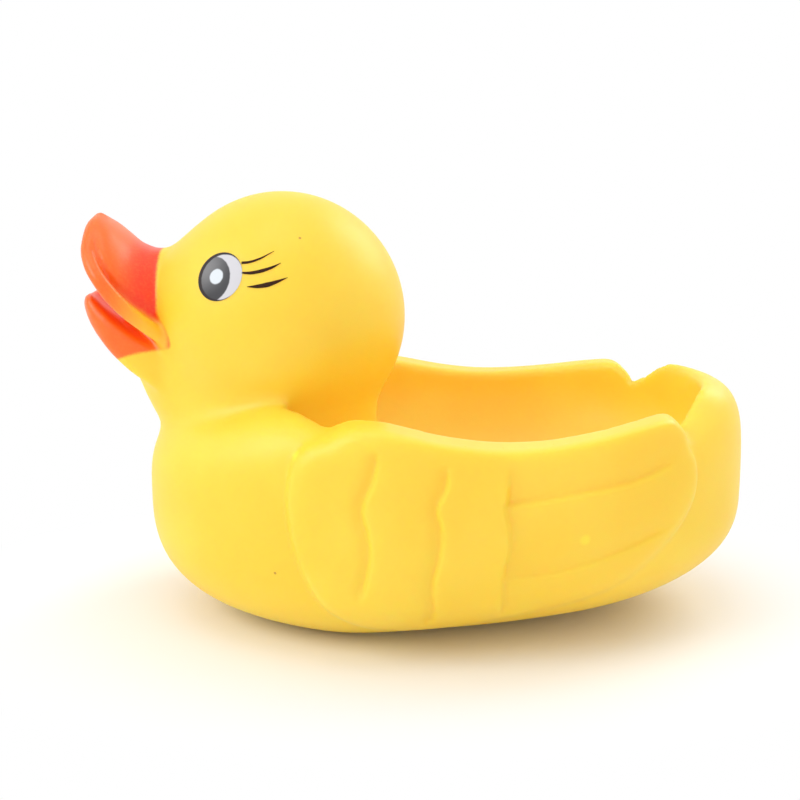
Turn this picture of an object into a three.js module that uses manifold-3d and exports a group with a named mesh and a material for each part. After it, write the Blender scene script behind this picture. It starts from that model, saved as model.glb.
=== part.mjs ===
// A squeaking bath duck: one hollow vinyl moulding with an open nest in its back and a whistle in its base.
// Millimetres. The bill points towards -X, +Z is up, and the flat base stands on z = 0.
// Sizes are measured from a point between the head and the nest; at the end the origin moves to mid-length.
import * as THREE from "three";
import { mergeVertices } from "three/addons/utils/BufferGeometryUtils.js";
import Module from "manifold-3d";

// Head
const HEAD_CENTRE = [-28.6, 0, 72.3];
const HEAD_RADII = [29.8, 29.5, 30.2];
const FACE_CENTRE = [-46, 0, 76.4];
const FACE_RADII = [17, 16.5, 13.6];
const NECK_CENTRE = [-31, 0, 47];
const NECK_RADII = [25, 25, 24];
const THROAT_PATH = [[-60, 0, 70], [-54.3, 0, 64.9], [-46.2, 0, 57.8], [-36, 0, 51]];
const THROAT_RADII = [7.5, 12, 17, 20.5];
const FACE_FILLET = 9;
const THROAT_FILLET = 7;
const NECK_FILLET = 6;

// Bill, in side view (x, z) unless a point has three numbers
const BILL_RIDGE = [[-90, 98], [-76, 97.6], [-72.1, 97], [-69.3, 95.6], [-66.5, 93.2], [-63.7, 90.8],
  [-61, 89.6], [-57, 89.2], [-48, 91], [-40, 91]];
const BILL_HALF_WIDTH = [[-78, 9], [-75.5, 13], [-73, 16], [-70, 18.8], [-66, 20], [-62.8, 19],
  [-59.6, 16.9], [-56.8, 14.5], [-53, 12], [-45, 12]];
const BILL_ARCH_HEIGHT = 21;
const BILL_OUTLINE = [[-45, 91], [-57, 89.2], [-61, 89.6], [-66.5, 93.2], [-70.7, 96.3], [-73, 96.6],
  [-74.2, 94.5], [-74.4, 91.2], [-73.9, 88], [-72.2, 84.6], [-69.8, 81.2], [-66.8, 77.6], [-63.2, 74],
  [-60, 71.2], [-56, 68], [-50, 65], [-42, 64], [-38, 80]];
const LIP_PATH = [[-72.6, 0, 95.6], [-73, 5.5, 94], [-73, 10, 91.2], [-72.6, 13, 88.6], [-71.1, 16, 85.6],
  [-68.9, 18, 82.6], [-66.2, 18.5, 79.2], [-62.8, 18, 75.6], [-59.6, 16.5, 72.6], [-56.8, 14.5, 69.9],
  [-54, 12, 67.2], [-51, 9.5, 65]];
const LIP_RADIUS = 1.7;
const LIP_GROOVE_PATH = [[-75.5, 0, 99], [-75.4, 7, 97.6], [-74.2, 13, 92.2], [-71.5, 17.2, 87.8],
  [-67.2, 19.2, 82.8], [-61, 18.8, 77.9], [-57, 17.2, 73.6], [-54.5, 15.6, 70.6]];
const LIP_GROOVE_RADIUS = 3.4;
const PALATE_CENTRE = [-70.5, 0, 75.5];
const PALATE_RADII = [13, 15.5, 14.5];
const LOWER_BILL_OUTLINE = [[-75.9, 77.8], [-76.6, 75.8], [-75.6, 73], [-73.2, 69.3], [-70.3, 65.8],
  [-67.2, 62.7], [-62.2, 58.7], [-55, 55], [-46, 60], [-46, 67], [-55, 66], [-60, 67.9], [-66, 71.6],
  [-70.8, 75.2], [-74.1, 78]];
const LOWER_BILL_HALF_WIDTH = [[-79, 2], [-77, 5.5], [-75, 8.5], [-71, 11.6], [-66, 13.4], [-60, 14],
  [-50, 13]];
const SCOOP_CENTRE = [-68, 0, 77];
const SCOOP_RADII = [12.5, 8.6, 3.6];
const SCOOP_TILT = THREE.MathUtils.degToRad(-36);
const LOWER_BILL_ROUNDING = 5;
const BILL_FILLET = 2.6;
const MOUTH_FILLET = 1.6;
const BILL_ROOT = -40;
const BILL_FLOOR = 45;

// Hull; the depths are those of its egg below and above its widest line, and the base is cut flat
const HULL_X = 8;
const HULL_FRONT = 70;
const HULL_BACK = 76.6;
const HULL_HALF_WIDTH = 48.5;
const HULL_DEPTH = 30.8;
const BASE_CUT = 0.8;
const UPPER_DEPTH = 85;
const BREAST_UPPER_DEPTH = 36;
const HULL_PLAN_POWER = 2.1;
const HULL_SIDE_POWER = 2.6;
const BREAST_SIDE_POWER = 2.85;
const BREAST_START = 30;
const BREAST_RUN = 80;
const TAIL_SIDE_POWER = 2.5;
const TAIL_POWER_START = 40;
const TAIL_POWER_RUN = 35;
const TAIL_LIFT = 1.4;
const TAIL_LIFT_START = 0;
const TAIL_LIFT_RUN = 40;
const BREAST_DROP = 2;
const BREAST_DROP_START = 12;
const BREAST_DROP_RUN = 30;
const LIFT_HEIGHT = 34;
const RIM_HEIGHT = [[-80, 40], [-66, 47], [-58, 50.3], [-50, 51.8], [-40, 53.4], [-30, 55.2], [-24, 55],
  [-17, 52.3], [-11, 50.2], [0, 49.5], [11, 48], [22, 47], [33, 47], [43, 48], [54, 48.5], [90, 48.5]];
const TAIL_RISE = 9.4;
const TAIL_HALF_WIDTH = 32;
const TAIL_SIDE_RUN = 16;
const TAIL_START = 48;
const TAIL_RUN = 14;
const RIM_ROUNDING = 9;
const SHOULDER_ROUNDING = 7;
const SHOULDER_START = -10;
const SHOULDER_RUN = 20;

// Nest in the back, set in from the hull by a rim all round
const NEST_X = 19;
const NEST_TOP = 50;
const NEST_DEPTH = 27;
const NEST_FRONT_RIM = 25;
const NEST_BACK_RIM = 11.1;
const NEST_SIDE_RIM = 8.5;
const NEST_POWER = 2.3;
const NEST_EDGE_ROUNDING = 5;

// Wings, in side view (x, z)
const WING_OUTLINE = [[-16.2, 52], [-10.8, 54.4], [-4.3, 54.5], [0, 53.8], [10.8, 51.6], [21.6, 50.5],
  [32.4, 50.9], [43.3, 52.3], [54.4, 54.3], [59.4, 54.6], [62.6, 52], [64.2, 48], [66, 44.5], [66.6, 40],
  [65.5, 33.8], [61, 26.4], [51.2, 17.5], [40.2, 12.5], [25, 8.5], [8, 4.5], [-4.6, 5], [-15.7, 11.5],
  [-21.9, 22], [-24.4, 31], [-25, 40], [-23.4, 47], [-20, 50.6]];
const WING_THIN = 1.2;
const WING_THICK = 3.2;
const WING_INNER_LIMIT = 15;
const WING_THICK_HEIGHT = [20, 22];
const WING_THICK_FRONT = [24, 30];
const WING_FOOT = 1;
const WING_FOOT_RUN = 15;
const WING_EDGE_ROUNDING = 3.5;
const WING_FRONT_ROUNDING = 7;
const WING_FRONT = [10, 30];
const WING_REAR_ROUNDING = 3;
const WING_REAR = [10, 20];
const WING_REAR_HEIGHT = [24, 16];
const WING_FILLET = 1.4;
const COVERT_GROOVES = [
  [[-4.8, 50.9], [-5.8, 45], [-8.4, 38], [-7, 31.2], [-7.1, 25.1], [-9.3, 15.6]],
  [[9.4, 48.4], [9.4, 43.5], [7.3, 38.2], [8.4, 33.4], [7.9, 26.9], [6.5, 20.6], [6.9, 13.8], [5.2, 7.8]],
];
const COVERT_GROOVE_DEPTH = 0.95;
const COVERT_GROOVE_WIDTHS = [2.6, 1.2];
const COVERT_FADE = 0.1;
const COVERT_STEP = [[22.3, 49], [22, 41.3], [21.4, 38.5], [22.5, 33.4], [22.7, 29.3], [21.6, 23],
  [21.7, 15.6], [21.6, 10.1]];
const COVERT_STEP_RISE = 0.45;
const COVERT_STEP_RISE_WIDTH = 4.5;
const COVERT_STEP_DROP = 1.35;
const COVERT_STEP_WIDTH = 1.7;
const COVERT_STEP_RECOVERY = 16;
const COVERT_STEP_FADE = 0.12;
const FLIGHT_GROOVES = [
  { path: [[22.4, 39.1], [30.9, 40.1], [40.9, 41.5], [51.4, 42.9], [61.5, 46.6]], depth: 0.9 },
  { path: [[22, 22.1], [30.9, 22.4], [38.3, 23.8], [49.5, 27], [62, 31.6]], depth: 0.6 },
];
const FLIGHT_GROOVE_WIDTHS = [3.6, 1.1];
const FLIGHT_FADES = [0.03, 0.15];

// Vinyl wall, and the mesh that shows it
const WALL = 2.2;
const CELL = 1.3;
const SAMPLE_MARGIN = 4;
const OUTER_TRIANGLES = 5400;
const INNER_TRIANGLES = 2000;
const CURVE_STEPS = 4;
const BLOCK_SIZE = 120;

// Whistle in the base
const WHISTLE_X = -3;
const BORE_RADIUS = 7;
const COLLAR_WALL = 2;
const COLLAR_TOP = 6.2;
const FIT_GAP = 0.3;
const HOUSING_RECESS = 0.8;
const HOUSING_FLOOR = 1.4;
const HOUSING_WALL = 2.1;
const HOUSING_FLANGE = 1.2;
const HOUSING_FLANGE_LIP = 1.4;
const AIR_HOLE_RADIUS = 1.5;
const REED_WIDTH = 3;
const REED_THICKNESS = 0.3;
const REED_INSET = 0.5;
const CHANNEL_DEPTH = 1;
const CHANNEL_LAND = 0.5;
const ROUND_STEPS = 32;

// Smooth joins and cuts: each takes the distances to two forms and the width of the fillet between them
function join(a, b, fillet) {
  const h = Math.max(fillet - Math.abs(a - b), 0) / fillet;
  return Math.min(a, b) - (h * h * h * fillet) / 6;
}

function common(a, b, fillet) {
  return -join(-a, -b, fillet);
}

function ease(t) {
  const s = Math.min(Math.max(t, 0), 1);
  return s * s * (3 - 2 * s);
}

// A height that runs smoothly through the given points
function profile(points) {
  const slope = (a, b) => (b[1] - a[1]) / (b[0] - a[0]);
  const tangents = points.map((p, i) => {
    if (i === 0) return slope(p, points[1]);
    if (i === points.length - 1) return slope(points[i - 1], p);
    const before = p[0] - points[i - 1][0];
    const after = points[i + 1][0] - p[0];
    return (slope(points[i - 1], p) * after + slope(p, points[i + 1]) * before) / (before + after);
  });
  return (value) => {
    const x = Math.min(Math.max(value, points[0][0]), points[points.length - 1][0]);
    let i = 0;
    while (i < points.length - 2 && x > points[i + 1][0]) i += 1;
    const run = points[i + 1][0] - points[i][0];
    const t = (x - points[i][0]) / run;
    const t2 = t * t;
    const t3 = t2 * t;
    return (2 * t3 - 3 * t2 + 1) * points[i][1] + (t3 - 2 * t2 + t) * run * tangents[i]
      + (3 * t2 - 2 * t3) * points[i + 1][1] + (t3 - t2) * run * tangents[i + 1];
  };
}

// Short straight runs along a smooth three.js curve through points
function curvePoints(points, closed = false) {
  const inSideView = ([x, z]) => new THREE.Vector3(x, 0, z);
  const vectors = points.map((p) => (p.length === 2 ? inSideView(p) : new THREE.Vector3(...p)));
  const curve = new THREE.CatmullRomCurve3(vectors, closed, "catmullrom", 0.5);
  const spans = closed ? points.length : points.length - 1;
  return curve.getPoints(spans * CURVE_STEPS);
}

// The nearest place on a line in side view: how far, on which side, and how far along
function nearestOnLine(line, x, z) {
  let best = Infinity;
  let side = 1;
  let along = 0;
  const runs = line.length - 1;
  for (let i = 0; i < runs; i += 1) {
    const ax = line[i].x;
    const az = line[i].z;
    const dx = line[i + 1].x - ax;
    const dz = line[i + 1].z - az;
    const t = Math.min(Math.max(((x - ax) * dx + (z - az) * dz) / (dx * dx + dz * dz), 0), 1);
    const distance = Math.hypot(x - ax - t * dx, z - az - t * dz);
    if (distance < best) {
      best = distance;
      side = Math.sign(dx * (z - az) - dz * (x - ax));
      along = (i + t) / runs;
    }
  }
  return { distance: best, side, along };
}

function insideOutline(line, x, z) {
  let inside = false;
  for (let i = 0; i < line.length - 1; i += 1) {
    const a = line[i];
    const b = line[i + 1];
    if (a.z > z !== b.z > z && x < ((b.x - a.x) * (z - a.z)) / (b.z - a.z) + a.x) inside = !inside;
  }
  return inside;
}

function outlineDistance(line, x, z) {
  const { distance } = nearestOnLine(line, x, z);
  return insideOutline(line, x, z) ? -distance : distance;
}

function tubeDistance(path, radii, x, y, z) {
  let best = Infinity;
  for (let i = 0; i < path.length - 1; i += 1) {
    const a = path[i];
    const dx = path[i + 1].x - a.x;
    const dy = path[i + 1].y - a.y;
    const dz = path[i + 1].z - a.z;
    const dot = (x - a.x) * dx + (y - a.y) * dy + (z - a.z) * dz;
    const t = Math.min(Math.max(dot / (dx * dx + dy * dy + dz * dz), 0), 1);
    const distance = Math.hypot(x - a.x - t * dx, y - a.y - t * dy, z - a.z - t * dz);
    best = Math.min(best, distance - radii[i] - t * (radii[i + 1] - radii[i]));
  }
  return best;
}

function ellipsoidDistance([cx, cy, cz], [rx, ry, rz], x, y, z) {
  const u = (x - cx) / rx;
  const v = (y - cy) / ry;
  const w = (z - cz) / rz;
  const reach = Math.hypot(u, v, w);
  return (reach * (reach - 1)) / (Math.hypot(u / rx, v / ry, w / rz) + 1e-9);
}

// An egg with its own radius each way, fuller than an ellipsoid as the two powers rise above 2
function eggDistance(x, y, z, egg) {
  const rx = x < 0 ? egg.front : egg.back;
  const rz = z < 0 ? egg.down : egg.up;
  const u = Math.abs(x) / rx + 1e-6;
  const v = Math.abs(y) / egg.side + 1e-6;
  const w = Math.abs(z) / rz + 1e-6;
  const plan = (u ** egg.planPower + v ** egg.planPower) ** (1 / egg.planPower);
  const reach = (plan ** egg.sidePower + w ** egg.sidePower) ** (1 / egg.sidePower);
  const planSlope = (plan / reach) ** (egg.sidePower - 1);
  const gx = (planSlope * (u / plan) ** (egg.planPower - 1)) / rx;
  const gy = (planSlope * (v / plan) ** (egg.planPower - 1)) / egg.side;
  const gz = (w / reach) ** (egg.sidePower - 1) / rz;
  return (reach - 1) / Math.hypot(gx, gy, gz);
}

// The bill: an arched upper half with a rolled lip and a groove above it, and a scooped lower half
const billRidge = profile(BILL_RIDGE);
const billHalfWidth = profile(BILL_HALF_WIDTH);
const billOutline = curvePoints(BILL_OUTLINE, true);
const lipPath = curvePoints(LIP_PATH);
const lipRadii = lipPath.map(() => LIP_RADIUS);
const groovePath = curvePoints(LIP_GROOVE_PATH);
const grooveRadii = groovePath.map(() => LIP_GROOVE_RADIUS);
const lowerBillOutline = curvePoints(LOWER_BILL_OUTLINE, true);
const lowerBillHalfWidth = profile(LOWER_BILL_HALF_WIDTH);
const BILL_TIP = Math.min(...LOWER_BILL_OUTLINE.map(([x]) => x));

function upperBill(x, y, z) {
  const width = billHalfWidth(x);
  const up = Math.max(z - billRidge(x) + BILL_ARCH_HEIGHT, 0);
  const reach = Math.hypot(y / width, up / BILL_ARCH_HEIGHT);
  const slope = Math.hypot(y / width ** 2, up / BILL_ARCH_HEIGHT ** 2) / Math.max(reach, 1e-3);
  const arch = (reach - 1) / Math.max(slope, 1 / BILL_ARCH_HEIGHT);
  let d = common(arch, outlineDistance(billOutline, x, z), BILL_FILLET);
  d = common(d, -tubeDistance(groovePath, grooveRadii, x, y, z), BILL_FILLET);
  d = common(d, -ellipsoidDistance(PALATE_CENTRE, PALATE_RADII, x, y, z), BILL_FILLET);
  return join(d, tubeDistance(lipPath, lipRadii, x, y, z), BILL_FILLET);
}

function lowerBill(x, y, z) {
  const d = common(outlineDistance(lowerBillOutline, x, z), y - lowerBillHalfWidth(x), LOWER_BILL_ROUNDING);
  const dx = x - SCOOP_CENTRE[0];
  const dz = z - SCOOP_CENTRE[2];
  const along = dx * Math.cos(SCOOP_TILT) + dz * Math.sin(SCOOP_TILT);
  const up = dz * Math.cos(SCOOP_TILT) - dx * Math.sin(SCOOP_TILT);
  return common(d, -ellipsoidDistance([0, 0, 0], SCOOP_RADII, along, y, up), BILL_FILLET);
}

// The hull: an egg that is fuller in the breast, lifts off the ground towards the tail and ends at a rim
const rimHeight = profile(RIM_HEIGHT);

function hull(x, y, z) {
  const breast = ease((BREAST_START - x) / BREAST_RUN);
  const tailward = ease((x - TAIL_POWER_START) / TAIL_POWER_RUN);
  const midPower = THREE.MathUtils.lerp(HULL_SIDE_POWER, BREAST_SIDE_POWER, breast);
  const tailLift = TAIL_LIFT * ease((x - TAIL_LIFT_START) / TAIL_LIFT_RUN);
  const breastDrop = BREAST_DROP * ease((BREAST_DROP_START - x) / BREAST_DROP_RUN);
  const lift = (tailLift - breastDrop) * (1 - ease(z / LIFT_HEIGHT));
  return eggDistance(x - HULL_X, y, z - lift - HULL_DEPTH + BASE_CUT, {
    front: HULL_FRONT,
    back: HULL_BACK,
    side: HULL_HALF_WIDTH,
    down: HULL_DEPTH,
    up: THREE.MathUtils.lerp(UPPER_DEPTH, BREAST_UPPER_DEPTH, breast),
    planPower: HULL_PLAN_POWER,
    sidePower: THREE.MathUtils.lerp(midPower, TAIL_SIDE_POWER, tailward),
  });
}

const nestEgg = {
  front: NEST_X - HULL_X + HULL_FRONT - NEST_FRONT_RIM,
  back: HULL_X + HULL_BACK - NEST_BACK_RIM - NEST_X,
  side: HULL_HALF_WIDTH - NEST_SIDE_RIM,
  down: NEST_DEPTH,
  up: NEST_DEPTH,
  planPower: NEST_POWER,
  sidePower: NEST_POWER,
};

function nest(x, y, z) {
  return eggDistance(x - NEST_X, y, Math.min(z - NEST_TOP, 0), nestEgg);
}

// The wings: a raised pad on each side with two grooves and a step across it, then two long flight feathers
const wingOutline = curvePoints(WING_OUTLINE, true);
const covertGrooves = COVERT_GROOVES.map((path) => curvePoints(path));
const covertStep = curvePoints(COVERT_STEP);
const flightGrooves = FLIGHT_GROOVES.map(({ path, depth }) => ({ line: curvePoints(path), depth }));

function featherRelief(x, z) {
  let height = 0;
  for (const line of covertGrooves) {
    const { distance, side, along } = nearestOnLine(line, x, z);
    const width = COVERT_GROOVE_WIDTHS[side < 0 ? 0 : 1];
    const fade = ease(along / COVERT_FADE) * ease((1 - along) / COVERT_FADE);
    height -= COVERT_GROOVE_DEPTH * Math.exp(-((distance / width) ** 2)) * fade;
  }
  const step = nearestOnLine(covertStep, x, z);
  const stepFade = ease(step.along / COVERT_STEP_FADE) * ease((1 - step.along) / COVERT_STEP_FADE);
  if (step.side < 0) {
    height += COVERT_STEP_RISE * Math.exp(-((step.distance / COVERT_STEP_RISE_WIDTH) ** 2)) * stepFade;
  } else if (step.distance < COVERT_STEP_WIDTH + COVERT_STEP_RECOVERY) {
    const recovery = ease((step.distance - COVERT_STEP_WIDTH) / COVERT_STEP_RECOVERY);
    const dropped = COVERT_STEP_DROP * ease(step.distance / COVERT_STEP_WIDTH);
    height += (COVERT_STEP_RISE - dropped + (COVERT_STEP_DROP - COVERT_STEP_RISE) * recovery) * stepFade;
  }
  for (const { line, depth } of flightGrooves) {
    const { distance, side, along } = nearestOnLine(line, x, z);
    const width = FLIGHT_GROOVE_WIDTHS[side > 0 ? 0 : 1];
    const fade = ease(along / FLIGHT_FADES[0]) * ease((1 - along) / FLIGHT_FADES[1]);
    height -= depth * Math.exp(-((distance / width) ** 2)) * fade;
  }
  return height;
}

function hullWithWings(x, y, z) {
  const shell = hull(x, y, z);
  const tail = ease((TAIL_HALF_WIDTH - y) / TAIL_SIDE_RUN) * ease((x - TAIL_START) / TAIL_RUN);
  const shoulder = ease((SHOULDER_START - x) / SHOULDER_RUN);
  const rounding = RIM_ROUNDING + SHOULDER_ROUNDING * (shoulder + tail);
  const rimmed = common(shell, z - rimHeight(x) - TAIL_RISE * tail, rounding);
  const outline = outlineDistance(wingOutline, x, z);
  const thinBelow = 1 - ease((z - WING_THICK_HEIGHT[0]) / WING_THICK_HEIGHT[1]);
  const thinBehind = 1 - ease((WING_THICK_FRONT[0] - x) / WING_THICK_FRONT[1]);
  const foot = ease((z - WING_FOOT) / WING_FOOT_RUN);
  const thickness = THREE.MathUtils.lerp(WING_THICK, WING_THIN, thinBelow * thinBehind) * foot;
  const relief = outline < 3 && y > WING_INNER_LIMIT ? featherRelief(x, z) : 0;
  const front = ease((WING_FRONT[0] - x) / WING_FRONT[1]);
  const rearHeight = ease((z - WING_REAR_HEIGHT[0]) / WING_REAR_HEIGHT[1]);
  const rear = ease((x - WING_REAR[0]) / WING_REAR[1]) * (1 - rearHeight);
  const rounded = THREE.MathUtils.lerp(WING_EDGE_ROUNDING, WING_FRONT_ROUNDING, front);
  const edge = rounded + WING_REAR_ROUNDING * rear;
  return join(rimmed, common(shell - thickness - relief, outline, edge), WING_FILLET);
}

const throatPath = curvePoints(THROAT_PATH);
const throatRadii = throatPath.map((_, i) => {
  const place = i / CURVE_STEPS;
  const start = Math.min(Math.floor(place), THROAT_RADII.length - 2);
  return THREE.MathUtils.lerp(THROAT_RADII[start], THROAT_RADII[start + 1], place - start);
});

// Distance to the whole outside of the duck, below zero inside the vinyl
function duck(x, signedY, z) {
  const y = Math.abs(signedY);
  const body = common(hullWithWings(x, y, z), -nest(x, y, z), NEST_EDGE_ROUNDING);
  let head = ellipsoidDistance(HEAD_CENTRE, HEAD_RADII, x, y, z);
  head = join(head, ellipsoidDistance(FACE_CENTRE, FACE_RADII, x, y, z), FACE_FILLET);
  head = join(head, tubeDistance(throatPath, throatRadii, x, y, z), THROAT_FILLET);
  const neck = ellipsoidDistance(NECK_CENTRE, NECK_RADII, x, y, z);
  const d = join(join(body, head, NECK_FILLET), neck, NECK_FILLET);
  if (x > BILL_ROOT || z < BILL_FLOOR) return d;
  return join(d, join(upperBill(x, y, z), lowerBill(x, y, z), MOUTH_FILLET), BILL_FILLET);
}

// Samples of a distance on a regular grid over a box
function sampleGrid(distance, box, cell) {
  const size = box.getSize(new THREE.Vector3());
  const counts = [size.x, size.y, size.z].map((length) => Math.ceil(length / cell) + 1);
  const values = new Float32Array(counts[0] * counts[1] * counts[2]);
  let at = 0;
  for (let k = 0; k < counts[2]; k += 1) {
    for (let j = 0; j < counts[1]; j += 1) {
      for (let i = 0; i < counts[0]; i += 1) {
        values[at] = distance(box.min.x + i * cell, box.min.y + j * cell, box.min.z + k * cell);
        at += 1;
      }
    }
  }
  return { values, counts, cell, origin: box.min };
}

// The six tetrahedra of a cell, which share its long diagonal; a corner's bits are its steps in x, y and z
const TETRAHEDRA = [[0, 1, 3, 7], [0, 3, 2, 7], [0, 2, 6, 7], [0, 6, 4, 7], [0, 4, 5, 7], [0, 5, 1, 7]];

// A closed triangle mesh of the surface where the samples pass a level
function levelSurface({ values, counts, cell, origin }, level) {
  const [nx, ny, nz] = counts;
  const corner = [...Array(8).keys()].map((c) => (c & 1) + ((c >> 1) & 1) * nx + ((c >> 2) & 1) * nx * ny);
  const positions = [];
  const triangles = [];
  const known = new Map();
  const gridPoint = (index) => [index % nx, Math.floor(index / nx) % ny, Math.floor(index / (nx * ny))];
  const crossing = (inner, outer) => {
    const key = Math.min(inner, outer) * values.length + Math.max(inner, outer);
    if (known.has(key)) return known.get(key);
    const share = (level - values[inner]) / (values[outer] - values[inner]);
    const t = Math.min(Math.max(share, 0.02), 0.98);
    const a = gridPoint(inner);
    const b = gridPoint(outer);
    positions.push(...[0, 1, 2].map((n) => origin.getComponent(n) + (a[n] + (b[n] - a[n]) * t) * cell));
    known.set(key, positions.length / 3 - 1);
    return positions.length / 3 - 1;
  };
  const addTriangle = (a, b, c, flip) => triangles.push(a, flip ? c : b, flip ? b : c);
  for (let k = 0; k < nz - 1; k += 1) {
    for (let j = 0; j < ny - 1; j += 1) {
      for (let i = 0; i < nx - 1; i += 1) {
        const base = i + j * nx + k * nx * ny;
        const signs = corner.reduce((sum, step) => sum + (values[base + step] < level ? 1 : 0), 0);
        if (signs === 0 || signs === 8) continue;
        for (const tetrahedron of TETRAHEDRA) {
          const points = tetrahedron.map((c) => base + corner[c]);
          const inner = [0, 1, 2, 3].filter((n) => values[points[n]] < level);
          const outer = [0, 1, 2, 3].filter((n) => values[points[n]] >= level);
          if (inner.length === 0 || outer.length === 0) continue;
          // An even order of inner then outer corners keeps the faces pointing out
          const order = [...inner, ...outer];
          const swaps = order.flatMap((m, at) => order.slice(at + 1).filter((n) => m > n)).length;
          const flip = swaps % 2 === 1;
          const p = order.map((n) => points[n]);
          if (inner.length === 1) {
            addTriangle(crossing(p[0], p[1]), crossing(p[0], p[2]), crossing(p[0], p[3]), flip);
          } else if (inner.length === 3) {
            addTriangle(crossing(p[0], p[3]), crossing(p[1], p[3]), crossing(p[2], p[3]), flip);
          } else {
            const quad = [[0, 2], [0, 3], [1, 3], [1, 2]].map(([m, n]) => crossing(p[m], p[n]));
            addTriangle(quad[0], quad[1], quad[2], flip);
            addTriangle(quad[0], quad[2], quad[3], flip);
          }
        }
      }
    }
  }
  return { positions: Float64Array.from(positions), triangles: Uint32Array.from(triangles) };
}

// A heap of values that gives back the smallest cost first
class CostHeap {
  constructor() {
    this.items = [];
  }

  push(item) {
    const { items } = this;
    let at = items.push(item) - 1;
    while (at > 0) {
      const parent = (at - 1) >> 1;
      if (items[parent].cost <= item.cost) break;
      items[at] = items[parent];
      at = parent;
    }
    items[at] = item;
  }

  pop() {
    const { items } = this;
    const top = items[0];
    const last = items.pop();
    if (items.length === 0) return top;
    let at = 0;
    for (;;) {
      let child = 2 * at + 1;
      if (child >= items.length) break;
      if (child + 1 < items.length && items[child + 1].cost < items[child].cost) child += 1;
      if (items[child].cost >= last.cost) break;
      items[at] = items[child];
      at = child;
    }
    items[at] = last;
    return top;
  }
}

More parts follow.
